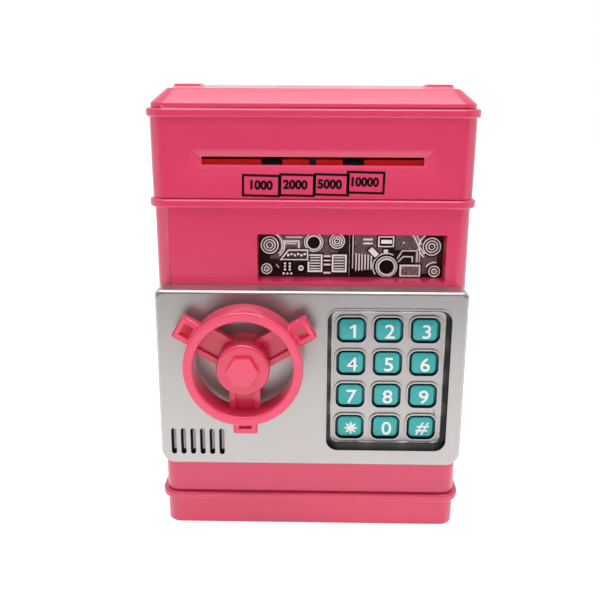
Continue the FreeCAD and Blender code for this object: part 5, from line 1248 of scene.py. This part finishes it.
# %% Note lip
LIP_LOW, LIP_HIGH, LIP_DEPTHS, LIP_ROUND = 156.6, 159.45, (0.02, 0.6), 0.3
FRONT_WALL = 2.8
case_inner_front = upper_front + FRONT_WALL
lip_spans = [(-43.9, -20.2), (-11.8, -1.4), (1.4, 11.8), (20.2, 43.9)]
lip_red = moulded("lip_red", (0.440, 0.004, 0.003), 0.55, specular=0.15)
for number, (start, end) in enumerate(lip_spans):
    half = ((end - start) / 2, (LIP_HIGH - LIP_LOW) / 2)
    lip = lofted("note_lip_%d" % number, [rounded_outline(*half, LIP_ROUND)] * 2, LIP_DEPTHS)
    place_at(lip, ((start + end) / 2, case_inner_front, (LIP_HIGH + LIP_LOW) / 2))
    placed(lip, "case", lip_red)
print("lip pieces:", len(lip_spans), "behind", round(case_inner_front, 2), "mm")

# %% [markdown]
# ## Screws
# The screws that can be seen have a cross recess. Each screw is a surface of revolution in polar
# coordinates, with one change: inside the recess radius, a point drops by the depth of a cross,
# which is a smooth step on the smaller of its two distances from the arms' centre lines.

# %% Screw surface
SCREW_COLUMNS, HEAD_ROWS, HEAD_START, DOME_SHARE = 48, 14, 0.04, 0.25
CROSS_HALF, CROSS_SLOPE, CROSS_DEPTH = 0.36, 0.25, 0.75
CROSS_REACH, REACH_SLOPE = 0.62, 0.4
TIP_RADIUS, TIP_LENGTH = 0.1, 1.0


def screw_surface(name, seats, head_radius, head_height, shank_radius, length):
    """Polar rows over a domed head with a cross-shaped pit, then down the shank to a point.

    At each seat the head rises towards plus Y and the shank runs the other way.
    """
    angle = np.linspace(0, 2 * np.pi, SCREW_COLUMNS, endpoint=False)
    top = np.linspace(HEAD_START, 1.0, HEAD_ROWS)
    radius = np.array([*(top * head_radius), head_radius, shank_radius, shank_radius, TIP_RADIUS])
    height = np.array([*(head_height * (1 - DOME_SHARE * top ** 3)), 0, 0, TIP_LENGTH - length,
                       -length])
    ring, turn = np.meshgrid(radius, angle, indexing="ij")
    across, up = ring * np.cos(turn), ring * np.sin(turn)
    arm = np.minimum(np.abs(across), np.abs(up))
    pit = np.clip((CROSS_HALF - arm) / CROSS_SLOPE + 0.5, 0, 1)
    reach = np.clip((CROSS_REACH * head_radius - ring) / REACH_SLOPE + 0.5, 0, 1)
    on_head = np.arange(len(radius))[:, None] < HEAD_ROWS
    rise = height[:, None] - np.where(on_head, pit * reach * head_height * CROSS_DEPTH, 0)
    quads = grid_faces(len(radius), SCREW_COLUMNS, close_columns=True)
    first_row = np.arange(SCREW_COLUMNS)
    last_row = across.size - 1 - first_row
    points, faces = [], []
    for number, (x, y, z) in enumerate(seats):
        shift = number * across.size
        points.append(np.stack([across + x, rise + y, up + z], axis=-1).reshape(-1, 3))
        faces += (quads + shift).tolist()
        faces += [(first_row + shift).tolist(), (last_row + shift).tolist()]
    return turn_faces_out(mesh_object(name, np.concatenate(points), faces, 40.0))


print("rows on a screw's head:", HEAD_ROWS)

# %% Screws at the back
REAR_HEAD, REAR_HEAD_HEIGHT, REAR_SHANK = 2.6, 1.2, 1.25
rear_low, rear_high = corners_of("rear_screws")
rear_seat = rear_high[1] - REAR_HEAD_HEIGHT
rear_seats = [(x, rear_seat, z) for x in (rear_low[0] + REAR_HEAD, rear_high[0] - REAR_HEAD)
              for z in (rear_low[2] + REAR_HEAD, rear_high[2] - REAR_HEAD)]
rear_screws = screw_surface("rear_screw_y", rear_seats, REAR_HEAD, REAR_HEAD_HEIGHT, REAR_SHANK,
                            rear_seat - rear_low[1])
placed(rear_screws, "case", finish["steel"])
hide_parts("rear_screws")
print("screws at the back:", len(rear_seats))

# %% [markdown]
# ## Everything inside
# The works show through the slot, and all of them when the door or a cover is open. They keep
# the shape of their solids and take skins in their own finishes.

# %% Inner skins
finished = set(case_nodes) | {"door_front", "door_back_cover", "handwheel", "relief_panel",
                              "rear_screws"} | {"key_" + name for name in key_names}
inner_nodes = sorted(set(nodes) - finished)
inner_skins = [dressed(node) for node in inner_nodes]
print("inner skins:", len(inner_skins))

# %% [markdown]
# ## Floor, flag, world and lamps
# The bank stands on a pale floor that runs out to white. The floor shows plain white to the
# camera and to anything that mirrors it, by Light Path, but keeps a trace of the shadow. A dark
# flag behind the camera is there for glossy rays alone, so that upright gloss mirrors something
# dark. A large soft lamp above gives the bright sloping lid, and two weak ones fill the sides. A
# wide, low lamp in front and one behind only brighten: glossy rays don't see them, so they leave
# no streaks.

# %% Stage helpers
def stage_sheet(name, corners, finish_name, grey, roughness):
    """Four-cornered sheet in one plain grey, in millimetres; returns it with its shader."""
    sheet = mesh_object(name, corners, [(0, 1, 2, 3)])
    plain = bpy.data.materials.new(finish_name)
    plain.use_nodes = True
    shader = plain.node_tree.nodes["Principled BSDF"]
    shader.inputs["Base Color"].default_value = (grey, grey, grey, 1.0)
    shader.inputs["Roughness"].default_value = roughness
    sheet.data.materials.append(plain)
    return sheet, shader


def seen_directly(tree):
    """One for rays from the camera, through glass or off a mirror, else zero: a maximum."""
    rays = tree.nodes.new("ShaderNodeLightPath")
    seen = math_node(tree, "MAXIMUM", rays.outputs["Is Camera Ray"],
                     rays.outputs["Is Transmission Ray"])
    return math_node(tree, "MAXIMUM", seen, rays.outputs["Is Glossy Ray"])


# %% Floor
FLOOR_REACH, FLOOR_GLOW = 3000.0, 0.84
floor_corners = [(-FLOOR_REACH, -FLOOR_REACH, 0), (FLOOR_REACH, -FLOOR_REACH, 0),
                 (FLOOR_REACH, FLOOR_REACH, 0), (-FLOOR_REACH, FLOOR_REACH, 0)]
floor, floor_shader = stage_sheet("floor", floor_corners, "floor_white", 0.90, 0.9)
floor_tree = floor.data.materials[0].node_tree
glow = math_node(floor_tree, "MULTIPLY", seen_directly(floor_tree), FLOOR_GLOW)
floor_shader.inputs["Specular IOR Level"].default_value = 0.0
floor_shader.inputs["Emission Color"].default_value = (1.0, 1.0, 1.0, 1.0)
floor_tree.links.new(glow, floor_shader.inputs["Emission Strength"])
print("floor:", 2 * FLOOR_REACH * MM, "m")

# %% Flag behind the camera
FLAG_BACK, FLAG_WIDE, FLAG_HIGH = -430.0, 700.0, 360.0
flag_corners = [(-FLAG_WIDE, FLAG_BACK, 0), (FLAG_WIDE, FLAG_BACK, 0),
                (FLAG_WIDE, FLAG_BACK, FLAG_HIGH), (-FLAG_WIDE, FLAG_BACK, FLAG_HIGH)]
flag = stage_sheet("flag", flag_corners, "flag_cloth", 0.03, 1.0)[0]
flag.visible_camera = False
flag.visible_diffuse = False
flag.visible_shadow = False
flag.visible_transmission = False
print("flag:", 2 * FLAG_WIDE, "by", FLAG_HIGH, "mm")

# %% World
WORLD_FILL = 0.16
world = bpy.data.worlds.new("studio")
bpy.context.scene.world = world
world.use_nodes = True
world_tree = world.node_tree
backdrop = world_tree.nodes["Background"]
fill = math_node(world_tree, "MULTIPLY_ADD", seen_directly(world_tree), 1.0 - WORLD_FILL,
                 WORLD_FILL)
backdrop.inputs["Color"].default_value = (1.0, 1.0, 1.0, 1.0)
world_tree.links.new(fill, backdrop.inputs["Strength"])
print("world fill:", WORLD_FILL)

# %% Lamps
LAMP_AIM = np.array([0.0, 0.0, 0.09])
# Each lamp: its place in metres, its width and height, its power, and whether gloss mirrors it.
lamp_table = {"top_lamp": ((0.0, -0.30, 1.11), 0.80, 0.70, 8.8, True),
              "left_lamp": ((-0.95, -0.95, 0.30), 0.6, 0.6, 0.9, True),
              "right_lamp": ((0.95, -0.95, 0.30), 0.6, 0.6, 0.9, True),
              "front_lamp": ((0.05, -1.00, 0.31), 0.7, 0.20, 3.5, False),
              "back_lamp": ((0.0, 1.10, 0.35), 0.7, 0.5, 5.0, False)}


def soft_lamp(name, place, width, height, power, mirrored):
    """Area lamp that faces the bank: its minus Z is the unit vector from place to aim."""
    data = bpy.data.lights.new(name, "AREA")
    data.shape = "RECTANGLE"
    data.size, data.size_y = width, height
    data.energy = power
    lamp = bpy.data.objects.new(name, data)
    bpy.context.scene.collection.objects.link(lamp)
    toward = LAMP_AIM - place
    toward = toward / np.linalg.norm(toward)
    side = np.cross(toward, [0.0, 0.0, 1.0])
    side = side / np.linalg.norm(side)
    pose = np.eye(4)
    pose[:3, 0], pose[:3, 1], pose[:3, 2] = side, np.cross(side, toward), -toward
    pose[:3, 3] = place
    lamp.matrix_world = Matrix(pose.tolist())
    lamp.visible_glossy = mirrored


for name, settings in lamp_table.items():
    soft_lamp(name, *settings)
bpy.context.scene.view_settings.view_transform = "Standard"
print("lamps:", len(lamp_table))
